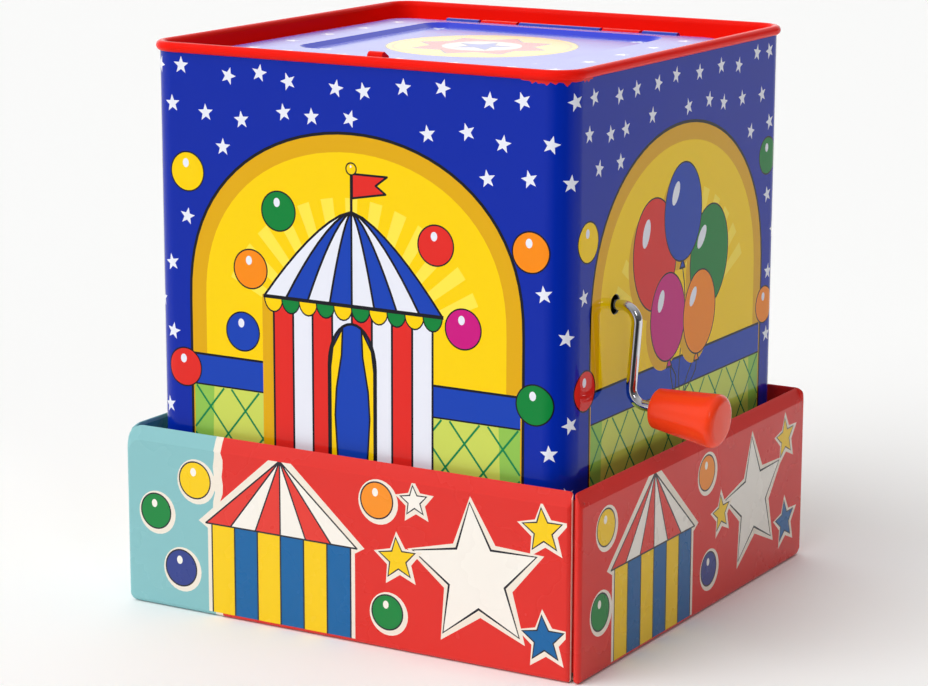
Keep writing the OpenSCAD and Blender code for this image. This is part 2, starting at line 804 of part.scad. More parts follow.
// Pinned drum: rows of pins, one track for each comb tooth
pin_steps = 20;
pins_per_track = 3;
function comb_pitch() = drum_len / comb_teeth;
module music_drum() {
    color("goldenrod")
        in_tin()
            difference() {
                union() {
                    bar_x(drum_x, drum_len, drum_y, drum_z, drum_r);
                    for (track = [0:comb_teeth - 1], n = [0:pins_per_track - 1]) {
                        step = (track * 7 + n * (6 + track % 3)) % pin_steps;
                        translate([drum_x + comb_pitch() * (track + 0.5), drum_y, drum_z])
                            rotate([360 * step / pin_steps, 0, 0])
                                cylinder(h = drum_r + pin_h, r = pin_r);
                    }
                }
                bar_x(drum_x - 1, drum_len + 2, drum_y, drum_z, axle_r + press_fit);
            }
}

// Drum gear, in mesh with the crank pinion
module drum_gear() {
    hub_r = 5;
    color("ivory")
        in_tin()
            difference() {
                union() {
                    translate([0, drum_y, drum_z])
                        along_x(gear_x, gear_face)
                            rotate(mesh_angle + 180 + 180 / wheel_teeth)
                                gear_outline(wheel_teeth);
                    bar_x(gear_x - drum_gap + press_fit, drum_gap, drum_y, drum_z, hub_r);
                }
                bar_x(gear_x - drum_gap - 1, gear_face + drum_gap + 2, drum_y, drum_z, axle_r + press_fit);
                for (a = [0:60:300])
                    bar_x_polar(gear_x - 1, gear_face + 2, gear_m * wheel_teeth * 0.31, a, 3);
            }
}
module bar_x_polar(x0, length, reach, angle, r) {
    bar_x(x0, length, drum_y + reach * cos(angle), drum_z + reach * sin(angle), r);
}

// Axle that carries the drum, its gear and the trip cam
module drum_axle() {
    color("silver")
        in_tin()
            bar_x(cam_x - 1, cheek_right + cheek_t + 1 - cam_x, drum_y, drum_z, axle_r);
}

// Trip cam: its lobe pushes the latch free once in every turn of the drum
module trip_cam() {
    lobe_tip_r = 2.5;
    color("ivory")
        in_tin()
            difference() {
                union() {
                    bar_x(cam_x, cam_t, drum_y, drum_z, cam_r);
                    bar_x(cam_x, cam_t, drum_y + lobe_r - lobe_tip_r, drum_z, lobe_tip_r);
                }
                bar_x(cam_x - 1, cam_t + 2, drum_y, drum_z, axle_r + press_fit);
            }
}

// Steel comb: a clamped bar with one slit between each pair of teeth
function comb_tip_y() = drum_y - drum_r - pin_h - slip;
function comb_screw_y() = web_front + shelf_d / 2;
function comb_screw_xs() = [for (t = [0.25, 0.75]) drum_x + drum_len * t];
module music_comb() {
    slit = 0.5;
    root_y = web_front + shelf_d - 1;
    color("silver")
        in_tin()
            difference() {
                translate([drum_x, web_front + slip, comb_z()])
                    cube([drum_len, comb_tip_y() - web_front - slip, comb_t]);
                for (t = [1:comb_teeth - 1])
                    translate([drum_x + t * comb_pitch() - slit / 2, root_y + 3 * t / comb_teeth, comb_z() - 1])
                        cube([slit, comb_tip_y() - web_front, comb_t + 2]);
                for (x = comb_screw_xs())
                    translate([x, comb_screw_y(), comb_z() - 1])
                        cylinder(h = comb_t + 2, r = screw_r + press_fit);
            }
}

// Screws that clamp the comb on its shelf
module comb_screws() {
    color("silver")
        in_tin()
            for (x = comb_screw_xs())
                translate([x, comb_screw_y(), comb_z() - shelf_t]) {
                    cylinder(h = shelf_t + comb_t + rivet_head_t, r = screw_r);
                    translate([0, 0, shelf_t + comb_t])
                        cylinder(h = rivet_head_t, r = 2 * screw_r);
                }
}

// Disc that holds the spring and the cloth body on the base panel
function base_rivet_spots() = [for (a = [90, 210, 330]) [10 * cos(a), puppet_y + 10 * sin(a)]];
module puppet_base() {
    color("tan")
        in_tin()
            difference() {
                translate([0, puppet_y, floor_z])
                    cylinder(h = base_t, r = base_r);
                for (p = base_rivet_spots())
                    translate([p[0], p[1], floor_z - 1])
                        cylinder(h = base_t + 2, r = rivet_r + press_fit);
            }
}
module base_rivets() {
    color("silver")
        in_tin()
            for (p = base_rivet_spots())
                translate([p[0], p[1], 0])
                    rivet(base_rise - sheet, floor_z + base_t);
}

// Pop spring, pressed short under the closed lid
spring_path = coil(spring_r, spring_z0, spring_z1, spring_turns);
spring_gap = min([for (i = [0:len(spring_path) - 1], j = [i + rings_per_turn - 2:len(spring_path) - 1])
    norm(spring_path[j] - spring_path[i])]) - 2 * spring_wire_r;
echo(pop_spring_least_gap = spring_gap);
module pop_spring() {
    color("gray")
        in_tin()
            translate([0, puppet_y, 0])
                swept_tube(spring_path, spring_wire_r, 6, [0, 0, 1]);
}

// Cloth body: a gathered tube around the spring, folded down under the closed lid
function fold_r(t) = cloth_r - fold_depth / 2 + fold_depth / 2 * cos(360 * folds * t);
module cloth_body() {
    steps = folds * 6;
    z0 = floor_z + base_t + slip;
    z1 = neck_z - slip;
    color("gold")
        in_tin()
            translate([0, puppet_y, 0])
                rotate_extrude()
                    polygon(concat(
                        [for (i = [0:steps]) [fold_r(i / steps), z0 + (z1 - z0) * i / steps]],
                        [for (i = [steps:-1:0]) [fold_r(i / steps) - cloth_t, z0 + (z1 - z0) * i / steps]]));
}

// Cup that joins the spring's top to the head
module neck_cup() {
    color("ivory")
        in_tin()
            translate([0, puppet_y, neck_z]) {
                cylinder(h = cup_t, r = cup_r);
                cylinder(h = cup_t + ruff_t + 6, r = cup_stub_r);
            }
}

// Pleated collar
module collar_ruff() {
    pleats = 16;
    pleat_depth = 2;
    color("red")
        in_tin()
            translate([0, puppet_y, ruff_z])
                linear_extrude(ruff_t - slip)
                    difference() {
                        polygon([for (i = [0:8 * pleats - 1])
                            polar(ruff_r + pleat_depth * cos(45 * i), 360 * i / (8 * pleats))]);
                        circle(r = neck_r + slip);
                    }
}

// Head: an egg-shaped shell on a short neck
module head_form(grow) {
    translate([0, puppet_y, head_z])
        rotate_extrude()
            polygon(concat([[0, -head_r - grow]],
                [for (a = [-80:10:80]) [(head_r + grow) * cos(a) * (1 - 0.05 * sin(a)), (head_r + grow) * sin(a)]],
                [[0, head_r + grow]]));
}
module puppet_head() {
    color("peachpuff")
        in_tin()
            difference() {
                union() {
                    head_form(0);
                    translate([0, puppet_y, ruff_z])
                        cylinder(h = head_r / 2, r = neck_r);
                }
                translate([0, puppet_y, neck_z])
                    cylinder(h = cup_t + ruff_t + 7, r = cup_stub_r + run_fit);
            }
}

// Round nose on the front of the head
module puppet_nose() {
    nose_r = 5;
    color("red")
        in_tin()
            difference() {
                translate([0, puppet_y - head_r - 1.5, head_z - 1])
                    rotate([90, 0, 0])
                        sphere(r = nose_r);
                head_form(press_fit);
            }
}

// Bunches of hair at both sides of the head
module hair_tufts() {
    tuft_r = 7;
    color("orange")
        in_tin()
            for (side = [-1, 1])
                difference() {
                    union() {
                        translate([side * head_r, puppet_y + 2, head_z + 2])
                            sphere(r = tuft_r);
                        translate([side * (head_r - 1), puppet_y + 5, head_z - 7])
                            sphere(r = tuft_r);
                    }
                    head_form(press_fit);
                }
}

// Pointed hat, its tip leaning forward
module puppet_hat() {
    sides = 32;
    levels = 6;
    rim_r = head_r * 0.98;
    tip_r = 2.5;
    rise = tip_z - head_z - brow_z;
    function hat_ring(i) = let (t = i / levels)
        [for (k = [0:sides - 1])
            [(rim_r + (tip_r - rim_r) * pow(t, 0.8)) * cos(360 * k / sides),
             (rim_r + (tip_r - rim_r) * pow(t, 0.8)) * sin(360 * k / sides) - hat_lean * t * t,
             brow_z + rise * t]];
    last = levels * sides;
    color("blue")
        in_tin()
            difference() {
                translate([0, puppet_y, head_z])
                    polyhedron(
                        [for (i = [0:levels]) each hat_ring(i)],
                        concat(
                            [for (i = [0:levels - 1], k = [0:sides - 1], upper = [0, 1])
                                let (a = i * sides + k, b = i * sides + (k + 1) % sides)
                                    upper == 0 ? [a, a + sides, b] : [b, a + sides, b + sides]],
                            [for (k = [1:sides - 2]) [0, k, k + 1]],
                            [for (k = [1:sides - 2]) [last, last + k + 1, last + k]]));
                head_form(slip);
            }
}

// Pompom on the hat's tip
module hat_pompom() {
    color("yellow")
        in_tin()
            translate([0, puppet_y - hat_lean, tip_z + pompom_r + press_fit])
                sphere(r = pompom_r);
}

// Arms hang from the top of the cloth body, with a mitten hand in each cuff
arm_dir = unit(wrist - shoulder);
arm_length = norm(wrist - shoulder);
cuff_lip = 0.6;
socket_r = hand_r + press_fit;
palm_reach = arm_length + sqrt(pow(socket_r, 2) - pow(wrist_r - cuff_lip, 2));
socket_a = asin((wrist_r - cuff_lip) / socket_r);
arm_profile = concat(
    [for (a = [90:-18:18]) [arm_r * cos(a), -arm_r * sin(a)]],
    [[arm_r, 0], [wrist_r, arm_length]],
    [for (t = [1:-0.25:0]) [socket_r * sin(socket_a * t), palm_reach - socket_r * cos(socket_a * t)]]);
module arm_at(side) {
    v = [side * arm_dir[0], arm_dir[1], arm_dir[2]];
    translate([side * shoulder[0], puppet_y + shoulder[1], shoulder[2]])
        rotate([0, acos(v[2]), atan2(v[1], v[0])])
            children();
}
module arm(side) {
    difference() {
        arm_at(side)
            rotate_extrude()
                polygon(arm_profile);
        translate([0, puppet_y, shoulder[2] - arm_length])
            cylinder(h = 2 * arm_length, r = cloth_r + slip);
    }
}
module hand(side) {
    palm = shoulder + palm_reach * arm_dir;
    translate([side * palm[0], puppet_y + palm[1], palm[2]])
        sphere(r = hand_r);
    translate([side * (palm[0] + 0.5), puppet_y + palm[1] - 3, palm[2] - 4])
        sphere(r = hand_r - 1);
}
module left_arm() { color("gold") in_tin() arm(-1); }
module right_arm() { color("blue") in_tin() arm(1); }
module left_hand() { color("white") in_tin() hand(-1); }
module right_hand() { color("white") in_tin() hand(1); }

display_tray();
body_shell();
bottom_plate();
top_frame();
hinge_pin();
lid_panel();
latch_lever();
latch_pin();
latch_spring();
crank_rod();
crank_knob();
crank_pinion();
crank_clip();
movement_frame();
movement_bracket();
bracket_rivets();
bracket_screws();
music_drum();
drum_gear();
drum_axle();
trip_cam();
music_comb();
comb_screws();
puppet_base();
base_rivets();
pop_spring();
cloth_body();
neck_cup();
collar_ruff();
puppet_head();
puppet_nose();
hair_tufts();
puppet_hat();
hat_pompom();
left_arm();
right_arm();
left_hand();
right_hand();
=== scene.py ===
import bpy
import math
import random
from mathutils import Matrix, Vector
from mathutils.geometry import delaunay_2d_cdt


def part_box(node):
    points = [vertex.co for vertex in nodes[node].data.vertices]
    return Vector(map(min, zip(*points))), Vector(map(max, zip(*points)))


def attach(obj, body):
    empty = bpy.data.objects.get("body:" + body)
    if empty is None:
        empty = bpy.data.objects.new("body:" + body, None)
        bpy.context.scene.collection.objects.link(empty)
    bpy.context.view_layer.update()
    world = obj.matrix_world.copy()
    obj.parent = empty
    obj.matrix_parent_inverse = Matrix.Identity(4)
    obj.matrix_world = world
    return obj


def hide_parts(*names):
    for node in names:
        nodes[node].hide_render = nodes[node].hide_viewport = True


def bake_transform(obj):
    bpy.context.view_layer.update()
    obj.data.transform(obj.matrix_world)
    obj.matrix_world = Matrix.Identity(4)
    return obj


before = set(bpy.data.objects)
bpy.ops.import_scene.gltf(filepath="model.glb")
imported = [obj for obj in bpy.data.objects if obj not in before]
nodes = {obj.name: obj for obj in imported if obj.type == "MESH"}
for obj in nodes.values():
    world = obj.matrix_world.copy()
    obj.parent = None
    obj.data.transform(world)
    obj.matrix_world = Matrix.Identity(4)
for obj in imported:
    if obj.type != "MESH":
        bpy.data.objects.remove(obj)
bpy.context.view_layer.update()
mm = 0.001
goldenAngle = 2.39996
print("stage: frame loaded")


# Helpers for meshes

def linked(name, data):
    obj = bpy.data.objects.new(name, data)
    bpy.context.scene.collection.objects.link(obj)
    return obj


def makeObject(name, verts, faces, materials, indices=None, loopNormals=None):
    mesh = bpy.data.meshes.new(name)
    mesh.from_pydata([tuple(v) for v in verts], [], [tuple(f) for f in faces])
    for material in materials:
        mesh.materials.append(material)
    if indices is not None:
        mesh.polygons.foreach_set("material_index", indices)
    mesh.polygons.foreach_set("use_smooth", [True] * len(mesh.polygons))
    if loopNormals is not None:
        mesh.normals_split_custom_set(loopNormals)
    mesh.update()
    return linked(name, mesh)


def arc(steps, sweep=math.pi / 2):
    return [sweep * i / steps for i in range(steps + 1)]


def turned(count):
    return [2 * math.pi * k / count for k in range(count)]


def roundedRect(width, depth, radii, centre=(0, 0), steps=8):
    # Corner points counter-clockwise from the lower right corner
    if not hasattr(radii, "__len__"):
        radii = [radii] * 4
    signs = [(1, -1), (1, 1), (-1, 1), (-1, -1)]
    points = []
    for turn, (sx, sy) in enumerate(signs):
        r = radii[turn]
        cx, cy = sx * (width / 2 - r), sy * (depth / 2 - r)
        for i in range(steps + 1):
            a = math.radians(-90 + 90 * turn + 90 * i / steps)
            points.append((centre[0] + cx + r * math.cos(a), centre[1] + cy + r * math.sin(a)))
    return points


def loftFaces(loopCount, ringCount):
    faces = []
    for i in range(loopCount - 1):
        low, high = i * ringCount, (i + 1) * ringCount
        for k in range(ringCount):
            n = (k + 1) % ringCount
            faces.append((low + k, low + n, high + n, high + k))
    return faces


def cappedFaces(start, loopCount, ringCount):
    # The faces of a closed loft whose points begin at start: its sides and then both ends
    last = start + (loopCount - 1) * ringCount
    faces = [tuple(start + v for v in f) for f in loftFaces(loopCount, ringCount)]
    faces.append(tuple(start + k for k in reversed(range(ringCount))))
    faces.append(tuple(last + k for k in range(ringCount)))
    return faces


def lathe(profile, angles, place):
    # profile holds (radius, height) pairs, place maps (radius, angle, height) to a point
    verts = [place(r, a, h) for r, h in profile for a in angles]
    return verts, loftFaces(len(profile), len(angles))


def pathLength(points, closed=False):
    pairs = zip(points, points[1:])
    if closed:
        pairs = ((points[k - 1], points[k]) for k in range(len(points)))
    return sum((Vector(b) - Vector(a)).length for a, b in pairs)


def lofted(name, rings, materials, indices=None):
    # Rings in millimetres, with a map of the cloth's own lengths for its weave
    count = len(rings[0])
    faces = loftFaces(len(rings), count)
    obj = makeObject(name, [Vector(p) * mm for ring in rings for p in ring], faces, materials, indices)
    across = pathLength(rings[len(rings) // 2], True) / count
    along = [0.0]
    for low, high in zip(rings, rings[1:]):
        along.append(along[-1] + (Vector(high[0]) - Vector(low[0])).length)
    cut = obj.data.uv_layers.new(name="cut")
    for f in range(len(faces)):
        i, k = divmod(f, count)
        for corner, (column, row) in enumerate(((k, i), (k + 1, i), (k + 1, i + 1), (k, i + 1))):
            cut.data[4 * f + corner].uv = (column * across, along[row])
    return obj


def addTube(verts, faces, path, radii, sides):
    # A closed tube along the path, added to the lists
    start, side = len(verts), None
    for i, p in enumerate(path):
        ahead = (path[min(i + 1, len(path) - 1)] - path[max(i - 1, 0)]).normalized()
        side = ahead.orthogonal() if side is None else side - ahead * side.dot(ahead)
        side.normalize()
        other = ahead.cross(side)
        for a in turned(sides):
            verts.append((p + (side * math.cos(a) + other * math.sin(a)) * radii[i]) * mm)
    faces.extend(cappedFaces(start, len(path), sides))


def tubeObject(name, path, radius, sides, material):
    verts, faces = [], []
    addTube(verts, faces, [Vector(p) for p in path], [radius] * len(path), sides)
    return makeObject(name, verts, faces, [material])


def addBlob(verts, faces, centre, size, tip, steps, sides):
    # A ball, as a tube that swells and closes
    lifts = [-math.pi / 2 + a for a in arc(steps, math.pi)]
    path = [centre + Vector((0, 0, size * math.sin(t))) for t in lifts]
    addTube(verts, faces, path, [tip + size * math.cos(t) for t in lifts], sides)


def spreadWay(k, count):
    # The k-th of count directions spread evenly over a ball
    tall = 1 - 2 * (k + 0.5) / count
    flat, a = math.sqrt(1 - tall * tall), goldenAngle * k
    return Vector((flat * math.cos(a), flat * math.sin(a), tall))


def anyWay(dice):
    return Vector((dice.uniform(-1, 1), dice.uniform(-1, 1), dice.uniform(-1, 1)))


# Flat art: shapes in millimetres, painted over each other

def disc(cx, cy, r, count=36):
    return [(cx + r * math.cos(a), cy + r * math.sin(a)) for a in turned(count)]


def oval(cx, cy, rx, ry, turn=0.0, count=28):
    c, s = math.cos(turn), math.sin(turn)
    points = []
    for a in turned(count):
        x, y = rx * math.cos(a), ry * math.sin(a)
        points.append((cx + c * x - s * y, cy + s * x + c * y))
    return points


def star(cx, cy, r, turn, arms=5, waist=0.42):
    points = []
    for i in range(2 * arms):
        a = turn + math.pi / 2 + math.pi * i / arms
        reach = r if i % 2 == 0 else r * waist
        points.append((cx + reach * math.cos(a), cy + reach * math.sin(a)))
    return points


def block(x0, y0, x1, y1):
    return [(x0, y0), (x1, y0), (x1, y1), (x0, y1)]


def slices(cx, half, count):
    # The two ends of each of count equal parts
    edges = [cx - half + 2 * half * i / count for i in range(count + 1)]
    return list(zip(edges, edges[1:]))


def ribbon(points, width):
    # A line of even width along the points
    left, right = [], []
    for i, p in enumerate(points):
        a = points[max(i - 1, 0)]
        b = points[min(i + 1, len(points) - 1)]
        dx, dy = b[0] - a[0], b[1] - a[1]
        size = math.hypot(dx, dy) or 1.0
        nx, ny = -dy / size * width / 2, dx / size * width / 2
        left.append((p[0] + nx, p[1] + ny))
        right.append((p[0] - nx, p[1] - ny))
    return right + left[::-1]


def shifted(shapes, dx):
    return [(ink, [(x + dx, y) for x, y in points]) for ink, points in shapes]


def ball(ink, cx, cy, r):
    return [
        ("key", disc(cx, cy, r + 0.45)),
        (ink, disc(cx, cy, r)),
        ("white", oval(cx - 0.1 * r, cy + 0.45 * r, 0.19 * r, 0.24 * r)),
    ]


def outlined(ink, points, width):
    loop = list(points) + [points[0]]
    shapes = [(ink, points)]
    for i in range(len(points)):
        shapes.append(("key", ribbon([loop[i], loop[i + 1]], width)))
        shapes.append(("key", disc(loop[i][0], loop[i][1], width / 2, 8)))
    return shapes


def counterClockwise(points):
    area = 0.0
    for i, p in enumerate(points):
        q = points[(i + 1) % len(points)]
        area += p[0] * q[1] - q[0] * p[1]
    return list(points) if area > 0 else list(points)[::-1]


def printedFaces(shapes, boundary, holes=(), lines=(), bare=False):
    # Cuts the boundary along every shape and gives each triangle its topmost ink
    verts, faces, edges = [], [], []
    for outline in [boundary] + [points for ink, points in shapes] + list(holes):
        start = len(verts)
        verts.extend(Vector(p) for p in counterClockwise(outline))
        faces.append(list(range(start, len(verts))))
    for a, b in lines:
        edges.append((len(verts), len(verts) + 1))
        verts.extend((Vector(a), Vector(b)))
    firstHole = len(shapes) + 1
    cut = delaunay_2d_cdt(verts, edges, faces, 1, 1e-5, True)
    points, tris, inks = cut[0], [], []
    for face, origins in zip(cut[2], cut[5]):
        if 0 not in origins or max(origins) >= firstHole or bare and max(origins) == 0:
            continue
        tris.append(tuple(face))
        inks.append(shapes[max(origins) - 1][0] if max(origins) > 0 else "base")
    used = sorted({i for tri in tris for i in tri})
    order = {old: new for new, old in enumerate(used)}
    return [points[i] for i in used], [tuple(order[i] for i in tri) for tri in tris], inks


def inkSlots(inks, inkSet):
    names = sorted(set(inks))
    return [inkSet[n] for n in names], [names.index(i) for i in inks]


def printedObject(name, shapes, boundary, inkSet, place, holes=(), lines=(), bare=False):
    # place maps (u, v, centre of the face) to a point and a normal; bare leaves out the unprinted ground
    points, tris, inks = printedFaces(shapes, boundary, holes, lines, bare)
    verts = [place(p[0], p[1], p)[0] for p in points]
    loopNormals = []
    for tri in tris:
        cx = sum(points[i][0] for i in tri) / 3
        cy = sum(points[i][1] for i in tri) / 3
        for i in tri:
            loopNormals.append(place(points[i][0], points[i][1], (cx, cy))[1])
    return makeObject(name, verts, tris, *inkSlots(inks, inkSet), loopNormals)


# Materials

def linear(code):
    parts = [int(code[i:i + 2], 16) / 255 for i in (0, 2, 4)]
    return [p / 12.92 if p <= 0.04045 else ((p + 0.055) / 1.055) ** 2.4 for p in parts] + [1.0]


def newGroup(name, inputs, outputs):
    # An empty effect with its sockets, its entry and its exit
    tree = bpy.data.node_groups.new(name, "ShaderNodeTree")
    for label, kind, value in inputs:
        socket = tree.interface.new_socket(label, in_out="INPUT", socket_type="NodeSocket" + kind)
        if value is not None:
            socket.default_value = value
    for label, kind in outputs:
        tree.interface.new_socket(label, in_out="OUTPUT", socket_type="NodeSocket" + kind)
    return tree, tree.nodes.new("NodeGroupInput"), tree.nodes.new("NodeGroupOutput")


def addNode(tree, kind, operation=None, **values):
    # A shader node with its constants; an underscore in a socket's name stands for a space
    node = tree.nodes.new("ShaderNode" + kind)
    if operation:
        node.operation = operation
    for socket, value in values.items():
        node.inputs[socket.replace("_", " ")].default_value = value
    return node


def join(tree, *wires):
    for source, output, target, entry in wires:
        tree.links.new(source.outputs[output], target.inputs[entry])


def reliefGroup(name, roughness, height):
    # An effect that puts out a roughness and, from the height that its bump gets, a normal
    tree, start, end = newGroup(name, (("Roughness", "Float", roughness), ("Relief", "Float", 0.5)),
                                (("Roughness", "Float"), ("Normal", "Vector")))
    bump = addNode(tree, "Bump", Distance=height)
    join(tree, (start, "Relief", bump, "Strength"), (bump, "Normal", end, "Normal"))
    return tree, start, end, bump


def grainGroup(name, stretch, fineScale, fineHeight, broadScale, roughSpread):
    # Fine relief and uneven gloss, shared by materials of one kind
    tree, start, end, bump = reliefGroup(name, 0.3, fineHeight)
    coord = addNode(tree, "TexCoord")
    mapping = addNode(tree, "Mapping", Scale=stretch)
    fine = addNode(tree, "TexNoise", Scale=fineScale, Detail=4)
    broad = addNode(tree, "TexNoise", Scale=broadScale, Detail=3)
    spread = addNode(tree, "MapRange", From_Min=0.3, From_Max=0.7, To_Min=-roughSpread, To_Max=roughSpread)
    total = addNode(tree, "Math", "ADD")
    total.use_clamp = True
    join(tree, (coord, "Object", mapping, "Vector"), (mapping, "Vector", fine, "Vector"),
         (coord, "Object", broad, "Vector"), (broad, "Fac", spread, "Value"), (spread, "Result", total, 0),
         (start, "Roughness", total, 1), (total, "Value", end, "Roughness"), (fine, "Fac", bump, "Height"))
    return tree


def weaveGroup(name, pitch, height, roughSpread):
    # Plain weave over the cloth's own lengths
    tree, start, end, bump = reliefGroup(name, 0.8, height)
    coord, cloth = addNode(tree, "TexCoord"), addNode(tree, "Math", "MAXIMUM")
    for entry, way in enumerate("XY"):
        thread = addNode(tree, "TexWave", Scale=0.314 / pitch, Distortion=0.6, Detail=1)
        thread.bands_direction = way
        join(tree, (coord, "UV", thread, "Vector"), (thread, "Fac", cloth, entry))
    rough = addNode(tree, "Math", "MULTIPLY_ADD")
    rough.use_clamp = True
    rough.inputs[1].default_value = -roughSpread
    join(tree, (cloth, "Value", rough, 0), (start, "Roughness", rough, 2),
         (rough, "Value", end, "Roughness"), (cloth, "Value", bump, "Height"))
    return tree


def mottleGroup(name):
    # Uneven depth of one colour
    inputs = (("Color", "Color", None), ("Scale", "Float", 100), ("Spread", "Float", 0.2))
    tree, start, end = newGroup(name, inputs, (("Color", "Color"),))
    coord, noise = addNode(tree, "TexCoord"), addNode(tree, "TexNoise", Detail=5)
    centred, level = addNode(tree, "Math", "SUBTRACT"), addNode(tree, "Math", "MULTIPLY_ADD")
    tint = addNode(tree, "VectorMath", "SCALE")
    centred.inputs[1].default_value = 0.5
    level.inputs[2].default_value = 1.0
    join(tree, (coord, "Object", noise, "Vector"), (start, "Scale", noise, "Scale"),
         (noise, "Fac", centred, 0), (centred, "Value", level, 0), (start, "Spread", level, 1),
         (start, "Color", tint, 0), (level, "Value", tint, "Scale"), (tint, "Vector", end, "Color"))
    return tree


mottle = mottleGroup("tone_mottle")
grain = {
    "cotton": weaveGroup("cotton_weave", 0.55, 0.00012, 0.12),
    "lacquer": grainGroup("lacquer_film", (1, 1, 1), 700, 0.00001, 30, 0.015),
    "enamel": grainGroup("enamel_film", (1, 1, 1), 420, 0.00002, 40, 0.03),
    "board": grainGroup("board_fibre", (0.3, 0.3, 1.8), 900, 0.00005, 60, 0.035),
    "wire": grainGroup("drawn_wire", (1, 1, 1), 2200, 0.000006, 160, 0.04),
    "sheetMetal": grainGroup("rolled_sheet", (1, 6, 1), 500, 0.00001, 60, 0.08),
    "plastic": grainGroup("moulded_skin", (1, 1, 1), 800, 0.000012, 70, 0.04),
    "wool": grainGroup("wool_fuzz", (1, 1, 1), 1400, 0.0004, 120, 0.03),
}


def surface(name, code, kind, roughness, relief=0.5, uneven=None, **extra):
    # uneven is the scale and spread of the colour's mottling
    material = bpy.data.materials.new(name)
    material.use_nodes = True
    tree = material.node_tree
    shader = tree.nodes["Principled BSDF"]
    shader.inputs["Base Color"].default_value = linear(code)
    for key, value in extra.items():
        shader.inputs[key.replace("_", " ")].default_value = value
    effect = tree.nodes.new("ShaderNodeGroup")
    effect.node_tree = grain[kind]
    effect.inputs["Roughness"].default_value = roughness
    effect.inputs["Relief"].default_value = relief
    join(tree, (effect, "Roughness", shader, "Roughness"), (effect, "Normal", shader, "Normal"))
    if uneven:
        tone = tree.nodes.new("ShaderNodeGroup")
        tone.node_tree = mottle
        tone.inputs["Color"].default_value = linear(code)
        tone.inputs["Scale"].default_value, tone.inputs["Spread"].default_value = uneven
        join(tree, (tone, "Color", shader, "Base Color"))
    return material


def mixInks(prefix, codes, kind, roughness, relief, **extra):
    return {name: surface(prefix + name, code, kind, roughness, relief, **extra)
            for name, code in codes.items()}


litho = mixInks("litho_", {
    "base": "0427A2", "white": "E6E8F3", "key": "16161E", "yellow": "F8CF00", "amber": "DDA70C",
    "pale": "FFE24A", "red": "DE2A24", "green": "0A8038", "orange": "F58A12", "magenta": "C8147E",
    "leaf": "C9D55C", "leafDark": "8FC050", "leafLine": "12804A", "blue": "1440B0",
}, "lacquer", 0.055, 0.3, IOR=1.25)
lidInk = mixInks("lid_", {
    "base": "1430D6", "white": "F4F4FA", "key": "4A4A66", "yellow": "F8D23A", "amber": "E8B83A",
    "red": "DE4A40", "cream": "F3E8D6", "blue": "3A5AC8",
}, "lacquer", 0.14, 0.3, IOR=1.5)
# The ink for the inner faces of the cyan walls is a darker copy of cyan: painted shade of the wall's
# inside, not a different print
carton = mixInks("carton_", {
    "base": "DC2A22", "cyan": "86BEC2", "cream": "EFE5D6", "key": "20202A", "yellow": "F5CB0A",
    "green": "10843C", "blue": "33418A", "orange": "F5901E", "red": "E23A30", "white": "F4EFE6",
    "teal": "58A4AC", "board": "CFC4B2", "sky": "0A62A0",
}, "board", 0.27, 0.45, IOR=1.38)
faceInk = mixInks("face_", {
    "white": "F6F3EE", "key": "2A1C18", "blue": "2E62B4", "red": "C4322C", "pink": "EFA08E",
}, "plastic", 0.35, 0.4)
cottonLook = {
    "kind": "cotton", "roughness": 0.85, "relief": 0.6, "uneven": (220, 0.35), "Sheen_Weight": 0.15,
}
feltLook = {"kind": "wool", "roughness": 0.92, "relief": 0.5, "Sheen_Weight": 0.3}
yarnLook = {"kind": "wool", "roughness": 0.95, "relief": 0.6, "Sheen_Weight": 0.3}
paint = {
    "redEnamel": surface("red_enamel", "F01A0E", "enamel", 0.22, 0.4, IOR=1.16),
    "lidEdge": surface("lid_lacquer", "1A35B0", "lacquer", 0.14, 0.3, IOR=1.45),
    "tin": surface("tinplate", "C4C6C8", "sheetMetal", 0.3, 0.5, (60, 0.25), Metallic=1.0),
    "tinInside": surface("tin_lacquer", "BFC2C4", "sheetMetal", 0.42, 0.5, (60, 0.25), Metallic=0.3),
    "chrome": surface("nickel_wire", "DADADF", "wire", 0.07, 0.5, Metallic=1.0),
    "steel": surface("spring_steel", "8E9196", "wire", 0.28, 0.6, (120, 0.3), Metallic=1.0),
    "knob": surface("knob_plastic", "F8421A", "plastic", 0.17, 0.5, (50, 0.08),
                    IOR=1.36, Subsurface_Weight=0.08, Subsurface_Scale=0.002),
    "whitePlastic": surface("white_plastic", "E6E2D6", "plastic", 0.4, 0.6, (90, 0.15)),
    "drumPlastic": surface("drum_plastic", "D8A640", "plastic", 0.38, 0.6, (90, 0.2)),
    "fibre": surface("fibre_board", "A98A62", "board", 0.7, 0.8, (300, 0.6)),
    "skin": surface("vinyl_skin", "F0D2BC", "plastic", 0.45, 0.5, (40, 0.12),
                    Subsurface_Weight=0.1, Subsurface_Scale=0.003),
    "yellowCotton": surface("yellow_cotton", "F2C21A", **cottonLook),
    "blueCotton": surface("blue_cotton", "1B3FA6", **cottonLook),
    "redCotton": surface("red_cotton", "D8261E", **cottonLook),
    "blueFelt": surface("blue_felt", "1B3FA6", uneven=(500, 0.5), **feltLook),
    "yellowFelt": surface("yellow_felt", "F2C21A", uneven=(500, 0.4), **feltLook),
    "redFelt": surface("red_felt", "D8261E", uneven=(500, 0.4), **feltLook),
    "pompom": surface("pompom_wool", "F5CF2A", uneven=(400, 0.5), **yarnLook),
    "hair": surface("hair_wool", "EE7A14", uneven=(400, 0.6), **yarnLook),
    "glove": surface("glove_felt", "F2EFE8", "wool", 0.9, 0.5, (400, 0.2), Sheen_Weight=0.3),
    "nose": surface("nose_plastic", "E0201A", "plastic", 0.2, 0.4, (60, 0.15)),
}
